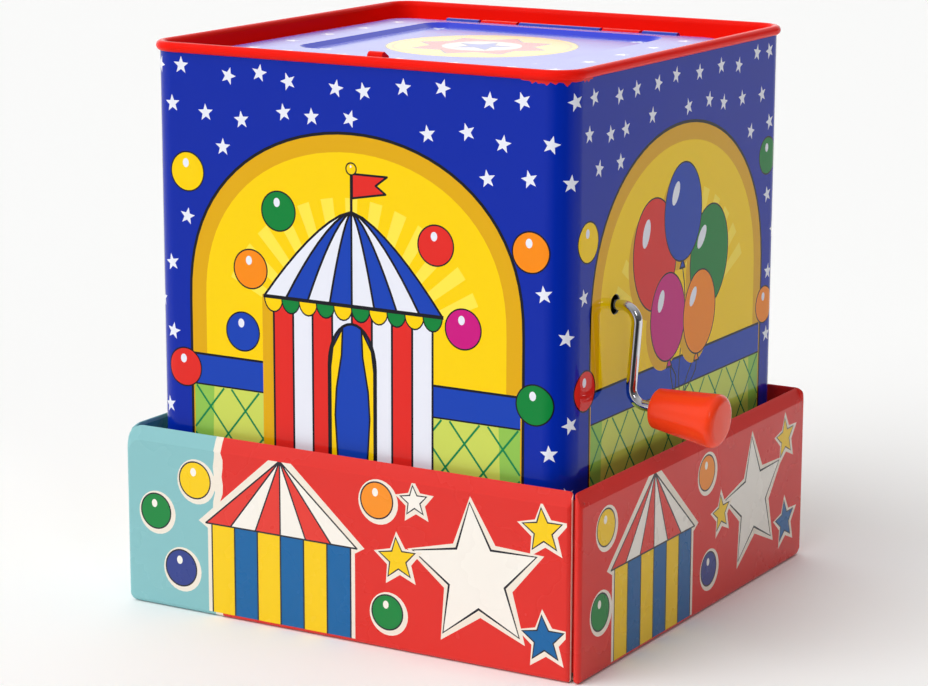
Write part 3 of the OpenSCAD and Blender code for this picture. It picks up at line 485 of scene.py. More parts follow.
bareNodes = {
    "tinInside": ("body_shell",), "redEnamel": ("top_frame", "latch_lever"), "lidEdge": ("lid_panel",),
    "tin": ("bottom_plate", "movement_bracket", "bracket_rivets", "base_rivets"),
    "chrome": ("hinge_pin", "latch_pin", "crank_rod", "drum_axle"), "knob": ("crank_knob",),
    "steel": ("latch_spring", "crank_clip", "bracket_screws", "music_comb", "comb_screws"),
    "whitePlastic": ("crank_pinion", "movement_frame", "drum_gear", "trip_cam", "neck_cup"),
    "drumPlastic": ("music_drum",), "fibre": ("puppet_base",), "nose": ("puppet_nose",),
}
for key, names in bareNodes.items():
    for name in names:
        nodes[name].data.materials.clear()
        nodes[name].data.materials.append(paint[key])
print("stage: materials")


# Printed wrap of the tin: star field, arched windows with a tent or balloons, and a lattice fence

wrap = {
    "half": 70.0, "corner": 8.0, "low": 4.2, "high": 168.0, "film": 0.05, "cornerSteps": 12,
    "starSpacing": 13.0, "starRow": 0.86, "starTop": 5.5, "starShift": (2.6, 2.0), "starTurn": 0.35,
    "starSize": 2.7, "starEdge": 3.0, "starClear": 3.6, "starArch": 2.3, "ballSize": 5.6, "ballClear": 3.4,
    "archHalf": 56.0, "archSpring": 95.0, "archTop": 148.0, "archPower": 0.86, "archLine": 0.9, "band": 5.0,
    "sunHeight": 84.0, "sunNear": 22.0, "sunFar": 46.0, "sunRays": 8, "sunStep": 10.5, "sunHalf": 2.6,
    "sunWide": 44.0, "sunLow": 79.5, "hole": (41.5, 101.7, 2.95), "drip": (55.0, 80.0, 167.5),
    "dripDepth": (0.15, 1.3), "dripPower": 2.4, "dripStep": (0.2, 1.5),
}
flatLength = 2 * (wrap["half"] - wrap["corner"])
arcLength = math.pi / 2 * wrap["corner"]
sideStep = flatLength + arcLength
girth = 4 * sideStep


def wrapPoint(u, v, face):
    turn = math.floor((u + sideStep / 2) / sideStep)
    t = u - turn * sideStep
    h, r = wrap["half"], wrap["corner"]
    if abs(t) <= flatLength / 2:
        x, y, nx, ny = t, -h - wrap["film"], 0.0, -1.0
    else:
        side = 1 if t > 0 else -1
        a = (abs(t) - flatLength / 2) / r
        nx, ny = side * math.sin(a), -math.cos(a)
        x = side * (h - r) + (r + wrap["film"]) * nx
        y = -(h - r) + (r + wrap["film"]) * ny
    c, s = [(1, 0), (0, 1), (-1, 0), (0, -1)][turn % 4]
    point = ((c * x - s * y) * mm, (s * x + c * y) * mm, v * mm)
    return point, (c * nx - s * ny, s * nx + c * ny, 0.0)


def archShape(inset):
    half, spring, power = wrap["archHalf"] - inset, wrap["archSpring"], wrap["archPower"]
    rise = wrap["archTop"] - spring - inset
    bow = [(half * math.cos(a), spring + rise * math.sin(a) ** power) for a in arc(40, math.pi)]
    return [(-half, 0.0), (half, 0.0)] + bow


lattice = {
    "inset": 0.4, "low": 2.0, "top": 69.2, "line": 69.0, "rail": (69.0, 79.0), "railInner": (69.7, 78.3),
    "shade": ((0, 2.0), (0, 69.2), (7, 69.2), (6, 40), (8, 2.0)), "pitch": 12.5, "count": 9, "slant": 0.82,
    "width": 0.65,
}


def fence():
    half, low = wrap["archHalf"] - lattice["inset"], lattice["low"]
    rails = (("key", *lattice["rail"]), ("blue", *lattice["railInner"]), ("leaf", low, lattice["top"]))
    shapes = [(ink, block(-half, y0, half, y1)) for ink, y0, y1 in rails]
    for side in (-1, 1):
        shapes.append(("leafDark", [(side * (half - x), y) for x, y in lattice["shade"]]))
    for i in range(-lattice["count"], lattice["count"] + 1):
        x = lattice["pitch"] * i
        for lean in (-1, 1):
            top = (x + lean * lattice["slant"] * (lattice["line"] - low), lattice["line"])
            clipped = clipLine((x, low), top, half)
            if clipped:
                shapes.append(("leafLine", ribbon(clipped, lattice["width"])))
    return shapes


def clipLine(first, last, half):
    # The part of a slanted line between the window's sides, or nothing
    (x0, y0), (x1, y1) = first, last
    low, high = 0.0, 1.0
    for edge in (-half, half):
        t = (edge - x0) / (x1 - x0)
        if -half <= x0 + (t + 0.01) * (x1 - x0) <= half:
            low = max(low, t)
        else:
            high = min(high, t)
    if high - low < 0.02:
        return None
    return [(x0 + (x1 - x0) * t, y0 + (y1 - y0) * t) for t in (low, high)]


tentSize = {
    "peak": 126.0, "eave": 99.0, "foot": 46.0, "wide": 30.0, "base": 27.0, "stripes": 8, "bend": 1.45,
    "seam": 0.999, "line": 0.7, "shadow": (4, 1), "eaveLine": 1.1, "eaveEdge": (0.6, 0.4),
    "door": 7.5, "doorSpring": 80, "doorRise": 13, "doorEdge": (1.12, 0.8), "drapeLine": 0.6,
    "drape": ((7.4, None), (7.4, 80), (6.6, 86), (3.2, 92), (3.6, 84), (5.4, 74), (5.9, 66), (4.6, None)),
    "scallops": 10, "scallopDrop": 1.35, "scallopLift": 0.5, "scallopEdge": (0.4, 0.35),
    "flag": ((0.3, 11), (0.3, 4), (11.5, 6), (8.2, 8.2), (12, 11)), "flagLine": 0.65,
    "pole": (-1, 11.5), "poleLine": 0.9, "finial": (12.4, 1.5),
}


def roofLine(t):
    # From the peak to the eave, t of the way across
    peak, wide = tentSize["peak"], tentSize["wide"]
    drop, foot = peak - tentSize["eave"], -wide + 2 * wide * t
    return [(foot * f, peak - drop * f ** tentSize["bend"]) for f in (k / 8 for k in range(9))]


def scallop(cx, r, grow, drop):
    eave, deep = tentSize["eave"] - tentSize["scallopLift"], tentSize["scallopDrop"] * (r + drop)
    angles = [math.pi + a for a in arc(10, math.pi)]
    return [(cx + (r + grow) * math.cos(a), eave + deep * math.sin(a)) for a in angles]


def tent():
    size = tentSize
    peak, eave, foot, wide, base = (size[key] for key in ("peak", "eave", "foot", "wide", "base"))
    stripes, line = size["stripes"], size["line"]
    shapes = [("amber", block(-base - size["shadow"][0], foot, base - size["shadow"][1], eave))]
    walls = slices(0, base, stripes)
    for i, (x0, x1) in enumerate(walls):
        shapes.append(("white" if i % 2 else "red", block(x0, foot, x1, eave)))
    for x in [-base] + [x1 for x0, x1 in walls]:
        shapes.append(("key", ribbon([(x, foot), (x, eave)], line)))
    half, spring, rise = size["door"], size["doorSpring"], size["doorRise"]
    door = [(-half, foot), (half, foot)]
    door += [(half * math.cos(a), spring + rise * math.sin(a)) for a in arc(16, math.pi)]
    widen, lift = size["doorEdge"]
    shapes.append(("key", [(x * widen, y + (lift if y > foot else 0)) for x, y in door]))
    shapes.append(("blue", door))
    for side in (-1, 1):
        drape = [(side * x, foot if y is None else y) for x, y in size["drape"]]
        shapes += outlined("yellow", drape, size["drapeLine"])
    roof = [roofLine(i / stripes) for i in range(stripes + 1)]
    for i in range(stripes):
        first = [(x * size["seam"], y) for x, y in roof[i]]
        shapes.append(("blue" if i % 2 else "white", first + roof[i + 1][:0:-1]))
    for edge in roof:
        shapes.append(("key", ribbon(edge, line)))
    r = wide / size["scallops"]
    for i in range(size["scallops"]):
        cx = -wide + 2 * wide * (i + 0.5) / size["scallops"]
        shapes.append(("key", scallop(cx, r, *size["scallopEdge"])))
        shapes.append(("green" if i % 2 else "yellow", scallop(cx, r, 0.0, 0.0)))
    past, drop = size["eaveEdge"]
    rim = [(-wide - past, eave - drop), (wide + past, eave - drop)]
    shapes.append(("key", ribbon(rim, size["eaveLine"])))
    shapes.append(("key", ribbon([(0, peak + y) for y in size["pole"]], size["poleLine"])))
    shapes += outlined("red", [(x, peak + y) for x, y in size["flag"]], size["flagLine"])
    shapes += ball("yellow", 0, peak + size["finial"][0], size["finial"][1])
    return shapes


bunch = {
    "knot": (2.0, 62.0), "string": 0.55, "stringFrom": (1.1, 1.12), "sway": 2.0, "shadow": (3.0, 2.5),
    "line": 0.45, "neck": 1.02, "tie": ((-1.7, -2.0), (1.7, -2.0), (0.0, 1.0)), "tieLine": 0.6,
    "shineAt": 0.42, "shine": (0.16, 0.26), "shineTurn": 0.5,
    "balloons": (("red", -17.0, 112.0, 13.5, 16.5, 0.16), ("green", 19.0, 106.0, 12.5, 15.5, -0.2),
                 ("blue", 1.0, 122.0, 12.0, 14.5, 0.0), ("magenta", -8.0, 92.0, 11.0, 13.0, 0.1),
                 ("orange", 13.0, 90.0, 10.5, 12.5, -0.12)),
}


def balloons():
    strings, shadows, shapes = [], [], []
    knot, line, at = bunch["knot"], bunch["line"], bunch["shineAt"]
    (aside, below), neck, shine = bunch["stringFrom"], bunch["neck"], bunch["shine"]
    for ink, x, y, rx, ry, lean in bunch["balloons"]:
        foot = (x + ry * math.sin(lean) * aside, y - ry * math.cos(lean) * below)
        path = []
        for k in range(9):
            t = k / 8
            sway = bunch["sway"] * math.sin(math.pi * 2 * t)
            path.append((foot[0] + (knot[0] - foot[0]) * t + sway, foot[1] + (knot[1] - foot[1]) * t))
        strings.append(("key", ribbon(path, bunch["string"])))
        shadows.append(("amber", oval(x - bunch["shadow"][0], y - bunch["shadow"][1], rx, ry, lean, 40)))
        u, v = x + ry * math.sin(lean) * neck, y - ry * math.cos(lean) * neck
        shapes += outlined(ink, [(u + dx, v + dy) for dx, dy in bunch["tie"]], bunch["tieLine"])
        shapes.append(("key", oval(x, y, rx + line, ry + line, lean, 44)))
        shapes.append((ink, oval(x, y, rx, ry, lean, 44)))
        shapes.append(("white", oval(x - at * rx, y + at * ry, shine[0] * rx, shine[1] * ry,
                                     lean - bunch["shineTurn"], 20)))
    return strings + shadows + shapes


def sunRay(middle):
    # One pale ray behind the motif, its middle in degrees
    a0, a1 = math.radians(middle - wrap["sunHalf"]), math.radians(middle + wrap["sunHalf"])
    near, far, y = wrap["sunNear"], wrap["sunFar"], wrap["sunHeight"]
    corners = ((near, a0), (far, a0), (far, a1), (near, a1))
    return [(r * math.cos(a), y + r * math.sin(a)) for r, a in corners]


def sidePicture(motif):
    insets = (("key", -wrap["archLine"]), ("amber", 0.0), ("yellow", wrap["band"]))
    shapes = [(ink, archShape(inset)) for ink, inset in insets]
    for i in range(-wrap["sunRays"], wrap["sunRays"] + 1):
        ray = sunRay(90 + wrap["sunStep"] * i)
        if min(y for x, y in ray) > wrap["sunLow"] and max(abs(x) for x, y in ray) < wrap["sunWide"]:
            shapes.append(("pale", ray))
    return shapes + fence() + motif()


frontBalls = (
    ("orange", -35.0, 106.0), ("magenta", 37.0, 96.0), ("green", -25.0, 124.0), ("red", 28.0, 119.0),
    ("blue", -38.0, 87.0), ("yellow", -57.0, 133.0), ("orange", 58.5, 120.0), ("red", -59.0, 74.0),
    ("green", 60.0, 77.0),
)
sideBalls = (
    ("yellow", -58.0, 122.0), ("green", 59.0, 131.0), ("orange", 59.0, 84.0), ("red", -59.0, 80.0),
)


def onArch(u, v):
    # Whether a star here would touch the arched window
    local = abs((u + sideStep / 2) % sideStep - sideStep / 2)
    wide = wrap["archHalf"] + wrap["starClear"]
    if v < wrap["archSpring"]:
        return local < wide
    rise = (v - wrap["archSpring"]) / (wrap["archTop"] - wrap["archSpring"] + wrap["starClear"])
    return rise < 1 and local < wide * math.sqrt(max(0, 1 - rise ** wrap["starArch"]))


def starField(balls, dice):
    stars = []
    low, high = wrap["low"] + wrap["starEdge"], wrap["high"] - wrap["starEdge"]
    step, (aside, lift) = wrap["starSpacing"], wrap["starShift"]
    rows = int((wrap["high"] - wrap["low"]) / (step * wrap["starRow"])) + 1
    columns = int(girth / step) + 1
    for row in range(rows):
        for column in range(columns):
            stagger = 0.5 if row % 2 else 0.0
            u = -girth / 2 + girth * (column + stagger) / columns + dice.uniform(-aside, aside)
            v = wrap["high"] - wrap["starTop"] - step * wrap["starRow"] * row + dice.uniform(-lift, lift)
            turn = dice.uniform(-wrap["starTurn"], wrap["starTurn"])
            if onArch(u, v) or v > high or v < low:
                continue
            if any(math.hypot(u - x, v - y) < wrap["ballSize"] + wrap["ballClear"] for ink, x, y in balls):
                continue
            stars.append(("white", star(u, v, wrap["starSize"], turn)))
    return stars


def paintDrip(dice):
    # The ragged lower edge of red paint under the rim
    (u0, u1, top), (least, most) = wrap["drip"], wrap["dripDepth"]
    ragged, u = [], u0
    while u < u1:
        swell = math.sin(math.pi * (u - u0) / (u1 - u0)) ** 0.5
        ragged.append((u, top - (least + most * dice.random() ** wrap["dripPower"]) * swell))
        u += dice.uniform(*wrap["dripStep"])
    return ragged + [(u1, top), (u1, wrap["high"]), (u0, wrap["high"])]


def tinArt():
    pictures, balls = [], []
    for turn in (-2, -1, 0, 1, 2):
        pictures += shifted(sidePicture(balloons if turn % 2 else tent), turn * sideStep)
        balls += [(ink, x + turn * sideStep, y) for ink, x, y in (sideBalls if turn % 2 else frontBalls)]
    dice = random.Random(11)
    shapes = starField(balls, dice) + pictures
    for ink, x, y in balls:
        shapes += ball(ink, x, y, wrap["ballSize"])
    return shapes + [("red", paintDrip(dice))]


def wrapLines():
    # Cuts along the rounded corners
    lines = []
    for turn in range(-3, 3):
        for i in range(wrap["cornerSteps"] + 1):
            u = turn * sideStep + flatLength / 2 + arcLength * i / wrap["cornerSteps"]
            if -girth / 2 < u < girth / 2:
                lines.append(((u, wrap["low"]), (u, wrap["high"])))
    return lines


crankHole = disc(sideStep - wrap["hole"][0], wrap["hole"][1], wrap["hole"][2], 40)
tinSheet = block(-girth / 2, wrap["low"], girth / 2, wrap["high"])
lithoPrint = printedObject("litho_print", tinArt(), tinSheet, litho, wrapPoint, [crankHole], wrapLines())
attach(lithoPrint, "tin")
print("stage: tin print", len(lithoPrint.data.polygons))


# Printed top of the lid: sunk panel, medallion and corner stars

lid = {
    "back": 50.75, "radius": 7.0, "border": 16.0, "borderBack": 5.0, "sink": 1.2, "slope": 2.0,
    "top": 167.2, "film": 0.05, "edge": 0.25, "medallion": 29.0, "medallionY": 3.6,
    "rings": (("key", 0.5), ("yellow", 0.0), ("amber", -1.6), ("yellow", -2.4)),
    "burst": (("key", 0.76), ("red", 0.73)), "burstArms": 8, "burstWaist": 0.72, "centre": 0.42,
    "badge": (("key", 0.36), ("blue", 0.32)), "starSize": 2.7, "starTurn": 0.3,
    "sideStars": 7.5, "sideFrom": 9, "sideStep": 20.5, "frontStars": 7.5, "frontStep": 19.0,
    "cornerStar": 3.4, "cornerAt": (0.42, 0.4), "cornerTurn": 0.2,
}
lidLow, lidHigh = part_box("lid_panel")
lidWide = (lidHigh.x - lidLow.x) / mm
lidFront = lidLow.y / mm
lidDepth = lid["back"] - lidFront
lidMid = (lid["back"] + lidFront) / 2
panelWide = lidWide - 2 * lid["border"]
panelDeep = lidDepth - lid["border"] - lid["borderBack"]
panelMid = lidMid + (lid["border"] - lid["borderBack"]) / 2


def insidePanel(x, y):
    # Distance inside the sunk panel's upper edge, and the way to that edge
    qx, qy = abs(x) - panelWide / 2 + lid["radius"], abs(y - panelMid) - panelDeep / 2 + lid["radius"]
    ax, ay = max(qx, 0), max(qy, 0)
    far = math.hypot(ax, ay)
    d = far + min(max(qx, qy), 0) - lid["radius"]
    if far > 1e-9:
        gx, gy = ax / far, ay / far
    else:
        gx, gy = (1, 0) if qx > qy else (0, 1)
    return -d, (math.copysign(gx, x), math.copysign(gy, y - panelMid))


def lidPoint(x, y, face):
    d, out = insidePanel(x, y)
    steep = lid["sink"] / lid["slope"]
    z = lid["top"] - steep * min(max(d, 0), lid["slope"]) + lid["film"]
    normal = (0, 0, 1)
    if 1e-4 < insidePanel(face[0], face[1])[0] < lid["slope"] - 1e-4:
        k = 1 / math.sqrt(1 + steep * steep)
        normal = (-out[0] * steep * k, -out[1] * steep * k, k)
    return (x * mm, y * mm, z * mm), normal


def lidArt():
    drop, r, y = lid["slope"], lid["medallion"], lid["medallionY"]
    shapes = []
    for d in (0, drop):
        panel = roundedRect(panelWide - 2 * d, panelDeep - 2 * d, lid["radius"] - d, (0, panelMid), 10)
        shapes.append(("base", panel))
    for ink, grow in lid["rings"]:
        shapes.append((ink, disc(0, y, r + grow, 72)))
    for ink, share in lid["burst"]:
        shapes.append((ink, star(0, y, share * r, 0, lid["burstArms"], lid["burstWaist"])))
    shapes.append(("cream", disc(0, y, lid["centre"] * r, 48)))
    for ink, share in lid["badge"]:
        shapes.append((ink, star(0, y, share * r, 0)))
    stars, size, (across, deep) = [], lid["starSize"], lid["cornerAt"]
    for sx in (-1, 1):
        for sy in (-1, 1):
            x, y = sx * across * panelWide, panelMid + sy * deep * panelDeep
            stars.append((x, y, lid["cornerStar"], lid["cornerTurn"] * sx))
        for i in range(5):
            x, y = sx * (lidWide / 2 - lid["sideStars"]), lidFront + lid["sideFrom"] + i * lid["sideStep"]
            stars.append((x, y, size, lid["starTurn"] * math.sin(3 * i + sx)))
    for i in range(-2, 3):
        x, y = i * lid["frontStep"], lidFront + lid["frontStars"]
        stars.append((x, y, size, lid["starTurn"] * math.cos(2 * i)))
    return shapes + [("white", star(*spot)) for spot in stars]


lidBare = 2 * lid["edge"]
lidOutline = roundedRect(lidWide - lidBare, lidDepth - lidBare, lid["radius"], (0, lidMid), 12)
lidPrint = printedObject("lid_print", lidArt(), lidOutline, lidInk, lidPoint)
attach(lidPrint, "lid")
print("stage: lid print", len(lidPrint.data.polygons))


# Knob: tapered grip with a rounded end and a parting line

knob = {
    "length": 21.2, "small": 5.8, "big": 7.7, "edge": 2.4, "endRound": 0.92, "face": 3.6, "neck": 1.2,
    "bore": 1.6, "boreDeep": 12.0, "boreEdge": 0.25, "columns": 72,
    "crown": ((4.0, 0.93), (2.5, 0.97), (1.2, 0.99), (0.02, 1.0)),
    "ridge": 0.09, "ridgeWide": 0.16, "ridgeAngles": (0.018, 0.035, 0.06), "ridgeFrom": (0.5, 0.3),
    "bend": (72.5, -41.5, 97.2), "lean": math.radians(4.5), "along": 12.5, "down": 23.0,
}
leanCos, leanSin = math.cos(knob["lean"]), math.sin(knob["lean"])


def leaning(along, down, aside=0.0):
    # A point along, below and beside the bend that the handle leans from
    x, y, z = knob["bend"]
    return x + along * leanCos - down * leanSin, y + aside, z - along * leanSin - down * leanCos


def buildKnob():
    length, edge, neck, bore = knob["length"], knob["edge"], knob["neck"], knob["bore"]
    small, big, cut = knob["small"], knob["big"], knob["boreEdge"]
    shoulder, tall = length - edge, edge * knob["endRound"]
    profile = [(bore, knob["boreDeep"]), (bore, cut), (bore + cut, 0.0), (knob["face"], 0.0)]
    profile += [(small - neck + neck * math.sin(a), neck - neck * math.cos(a)) for a in arc(6)]
    profile += [(small + (big - small) * t, neck + (shoulder - neck) * t) for t in arc(8, 1)[1:-1]]
    profile += [(big - edge + edge * math.cos(a), shoulder + tall * math.sin(a)) for a in arc(8)]
    profile += [(r, shoulder + edge * lift) for r, lift in knob["crown"]]
    seams = (math.pi / 2, 3 * math.pi / 2)
    angles = sorted(set(turned(knob["columns"]))
                    | {seam + way * d for seam in seams for d in knob["ridgeAngles"] for way in (-1, 1)})

    def place(r, a, h):
        away = min(abs(a - seam) for seam in seams) * max(r, 1)
        onSkin = r > bore + knob["ridgeFrom"][0] and h > knob["ridgeFrom"][1]
        r += knob["ridge"] * math.exp(-(away / knob["ridgeWide"]) ** 2) if onSkin else 0.0
        return [c * mm for c in leaning(knob["along"] + h, knob["down"] - r * math.sin(a), r * math.cos(a))]

    verts, faces = lathe(profile, angles, place)
    return makeObject("knob_grip", verts, [f[::-1] for f in faces], [paint["knob"]])


knobGrip = buildKnob()
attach(knobGrip, "knob")
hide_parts("crank_knob")
print("stage: knob")


# Crank: one bent wire from the movement to the knob

crank = {"wire": 1.55, "bend": 4.5, "straight": 18.5, "sides": 28, "steps": 20}


def buildCrank():
    low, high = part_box("crank_rod")
    x, y, z = knob["bend"]
    r, straight = crank["bend"], crank["straight"]
    end = (high.x / mm - x + (knob["down"] - crank["wire"]) * leanSin) / leanCos
    path = [(low.x / mm + t * (x - low.x / mm), y, z + r) for t in (0.0, 0.01, 0.5, 0.95)]
    first = [(math.pi / 2 + knob["lean"]) * (1 - t) for t in arc(crank["steps"], 1)]
    path += [leaning(r * math.cos(a), -r * math.sin(a)) for a in first]
    path.append(leaning(r, straight / 2))
    path += [leaning(2 * r - r * math.cos(a), straight + r * math.sin(a)) for a in arc(crank["steps"])]
    path += [leaning(along, knob["down"]) for along in (knob["along"], end - 0.1, end)]
    return tubeObject("crank_wire", path, crank["wire"], crank["sides"], paint["chrome"])


crankWire = buildCrank()
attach(crankWire, "crank")
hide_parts("crank_rod")
print("stage: crank")


# Spring puppet: coil, cloth body, arms, ruff, head, hair and hat

headLow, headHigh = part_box("puppet_head")
bodyLow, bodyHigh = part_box("cloth_body")
puppet = {
    "y": (headLow.y + headHigh.y) / 2 / mm, "headRadius": (headHigh.x - headLow.x) / 2 / mm, "egg": 0.05,
    "forms": ((0.9, 0.6, -0.2, 0.06), (0.8, 0.0, -0.62, 0.05), (-0.45, 0.34, 0.16, 0.025)),
    "neck": 11.0, "neckWall": 2.4, "columns": 96, "levels": 60,
    "face": 0.07, "faceArea": (-21, -18, 21, 12), "faceGrid": 1.4, "cheek": (15.0, -5.5, 4.6),
    "eye": (9.2, 4.4), "eyeRims": (("key", 3.35, 4.05), ("white", 2.95, 3.65)), "gaze": 0.5,
    "iris": (("blue", 2.1), ("key", 1.15)), "glint": (0.6, 0.4, 0.55),
    "browHalf": 3.2, "browLift": 4.8, "browBow": 0.7, "browLine": 0.7,
    "mouth": -9.8, "mouthHalf": 7.5, "mouthBow": 2.6, "mouthLine": 1.5, "mouthEnd": 0.95,
}
midY = puppet["y"]
headMid = headHigh.z / mm - puppet["headRadius"]


def about(r, a, z):
    # A point round the puppet's upright axis
    return r * math.cos(a), midY + r * math.sin(a), z


coil = {"radius": 19.0, "wire": 1.0, "turns": 9, "rest": 0.8, "restPitch": 0.6, "steps": 36, "sides": 12}


def buildCoil():
    low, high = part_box("pop_spring")
    turns, rest, pitch = coil["turns"], coil["rest"], coil["restPitch"]
    z0, z1 = low.z / mm + coil["wire"], high.z / mm - coil["wire"]
    path = []
    for i in range(turns * coil["steps"] + 1):
        turn = i / coil["steps"]
        climb = min(max((turn - rest) / (turns - 2 * rest), 0), 1)
        z = z0 + pitch * min(turn, rest) + pitch * max(turn - turns + rest, 0)
        z += climb * (z1 - z0 - 2 * pitch * rest)
        path.append(about(coil["radius"], 2 * math.pi * turn, z))
    return tubeObject("pop_coil", path, coil["wire"], coil["sides"], paint["steel"])


popCoil = buildCoil()
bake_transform(popCoil)
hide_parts("pop_spring")

robe = {
    "outer": 28.8, "fold": 7.4, "folds": 11, "gores": 8, "columns": 96, "steps": 10, "cloth": 0.4,
    "hem": 0.4, "sway": 0.45, "ripple": 0.25, "gather": 21.2, "pucker": 0.5, "puckers": 24,
}


def thicken(obj, thickness, offset):
    cloth = obj.modifiers.new("cloth", "SOLIDIFY")
    cloth.thickness = thickness * mm
    cloth.offset = offset


def buildRobe():
    z0, z1 = bodyLow.z / mm + robe["hem"], bodyHigh.z / mm - robe["hem"]
    levels, columns = robe["folds"] * robe["steps"], robe["columns"]
    rings = []
    for i in range(levels + 1):
        t = i / levels
        free = math.sin(math.pi * t) ** 0.5
        ring = []
        for a in turned(columns):
            sway = robe["sway"] * free * (math.sin(3 * a + 9 * t) + 0.6 * math.sin(7 * a - 17 * t))
            phase = 2 * math.pi * robe["folds"] * t + 0.5 * free * math.sin(2 * a + 5 * t)
            r = robe["outer"] - robe["fold"] / 2 * (1 - math.cos(phase))
            r -= robe["ripple"] * free * (1 + math.sin(11 * a + 4 * t))
            ring.append(about(r, a, z0 + (z1 - z0) * t + sway))
        rings.append(ring)
    for i in (1, 2, 3):
        r = robe["outer"] + (robe["gather"] - robe["outer"]) * i / 3
        pucker = robe["pucker"] * (i - 1)
        for z, where in ((z0 - 0.1 * i, 0), (z1 + 0.1 * i, len(rings) + 1)):
            rings.insert(where, [about(r + pucker * math.sin(robe["puckers"] * a) / 2, a, z)
                                 for a in turned(columns)])
    wide = columns // robe["gores"]
    indices = [f % columns // wide % 2 for f in range((len(rings) - 1) * columns)]
    obj = lofted("robe", rings, [paint["yellowCotton"], paint["blueCotton"]], indices)
    length = pathLength([ring[0] for ring in rings])
    return obj, (2 * math.pi * (robe["outer"] - robe["fold"] / 2) * mm, length * mm)


robeCloth, robeCut = buildRobe()
thicken(robeCloth, robe["cloth"], -1)
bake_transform(robeCloth)
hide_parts("cloth_body")

ruff = {
    "inner": 11.6, "outer": 32.0, "scallop": 1.8, "pleats": 16, "lift": 1.45, "flare": 0.045,
    "columns": 256, "rows": 14, "cloth": 0.4,
}


def buildRuff():
    low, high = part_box("collar_ruff")
    middle = (low.z + high.z) / 2 / mm
    inner, outer = ruff["inner"], ruff["outer"]
    rings = []
    for i in range(ruff["rows"] + 1):
        t = i / ruff["rows"]
        ring = []
        for a in turned(ruff["columns"]):
            wave = ruff["pleats"] * a
            r = inner + (outer + ruff["scallop"] * math.cos(2 * wave) - inner) * t
            z = middle + ruff["lift"] * (0.25 + 0.75 * t) * math.sin(wave)
            ring.append(about(r, a + ruff["flare"] * t * math.sin(2 * wave), z))
        rings.append(ring)
    obj = lofted("ruff", [ring[::-1] for ring in rings], [paint["redCotton"]])
    area = sum(p.area for p in obj.data.polygons)
    return obj, (pathLength(rings[-1], True) * mm, (outer - inner) * mm), area


ruffCloth, ruffCut, ruffArea = buildRuff()
thicken(ruffCloth, ruff["cloth"], 0)
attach(ruffCloth, "puppet")
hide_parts("collar_ruff")


def headPoint(turn, lift, out=0.0):
    # The egg of the head with cheeks, chin and shallow eye hollows; turn 0 faces the front
    form = 0.0
    for size, aside, up, spread in puppet["forms"]:
        form += size * math.exp(-((abs(turn) - aside) ** 2 + (lift - up) ** 2) / spread)
    r = puppet["headRadius"] + form + out
    flat = r * math.cos(lift) * (1 - puppet["egg"] * math.sin(lift))
    return Vector((flat * math.sin(turn), midY - flat * math.cos(turn), headMid + r * math.sin(lift)))


def buildHead():
    neck, foot = puppet["neck"], headLow.z / mm
    inner = neck - puppet["neckWall"]
    neckLift = -math.acos(neck / puppet["headRadius"])
    turns = [math.atan2(math.sin(a), math.cos(a)) for a in turned(puppet["columns"])]
    rings = []
    for r, rise in ((inner, 5), (inner, 0.3), (inner + 0.3, 0), (neck - 0.3, 0), (neck, 0.3), (neck, 3)):
        rings.append([(r * math.sin(a), midY - r * math.cos(a), foot + rise) for a in turns])
    for rise in arc(puppet["levels"], math.pi / 2 - 0.002 - neckLift):
        rings.append([headPoint(a, neckLift + rise) for a in turns])
    return lofted("head", rings, [paint["skin"]])


def facePoint(u, v, face):
    point = headPoint(u / puppet["headRadius"], v / puppet["headRadius"], puppet["face"])
    normal = (point - Vector((0, midY, headMid))).normalized()
    return point * mm, normal


def faceArt():
    shapes = []
    (ex, ey), gaze, half = puppet["eye"], puppet["gaze"], puppet["browHalf"]
    (cx, cy, cheek), (left, up, glint) = puppet["cheek"], puppet["glint"]
    for side in (-1, 1):
        iris = side * (ex - gaze)
        shapes.append(("pink", disc(side * cx, cy, cheek)))
        shapes += [(ink, oval(side * ex, ey, rx, ry)) for ink, rx, ry in puppet["eyeRims"]]
        shapes += [(ink, disc(iris, ey - gaze, r)) for ink, r in puppet["iris"]]
        shapes.append(("white", disc(iris - left, ey + up, glint, 16)))
        brow = [(side * (ex - half + x), ey + puppet["browLift"] + puppet["browBow"] * math.sin(a))
                for x, a in zip(arc(8, 2 * half), arc(8, math.pi))]
        shapes.append(("key", ribbon(brow, puppet["browLine"])))
    half, bow = puppet["mouthHalf"], puppet["mouthBow"]
    smile = [(-half + x, puppet["mouth"] - bow * math.sin(a))
             for x, a in zip(arc(16, 2 * half), arc(16, math.pi))]
    shapes.append(("red", ribbon(smile, puppet["mouthLine"])))
    for x, y in (smile[0], smile[-1]):
        shapes.append(("red", disc(x, y, puppet["mouthEnd"], 16)))
    return shapes


def faceLines():
    # A grid that lets the print follow the round head
    x0, y0, x1, y1 = puppet["faceArea"]
    step = puppet["faceGrid"]
    columns = [((x * step, y0), (x * step, y1)) for x in range(-15, 16)]
    return columns + [((x0, y * step), (x1, y * step)) for y in range(-12, 9)]


head = buildHead()
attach(head, "puppet")
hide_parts("puppet_head")
facePrint = printedObject("face_print", faceArt(), block(*puppet["faceArea"]), faceInk, facePoint,
                          lines=faceLines(), bare=True)
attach(facePrint, "puppet")

wool = {
    "tufts": ((27.0, 2.0, 2.0), (26.0, 5.0, -7.0)), "reach": 4.7, "core": 4.9, "curls": 44, "yarn": 0.75,
    "sides": 7, "loop": 1.7, "loopSpread": (0.8, 1.1), "tilt": 0.8, "steps": 15, "sweep": 5.4,
    "climb": 0.09, "inward": -0.45,
}


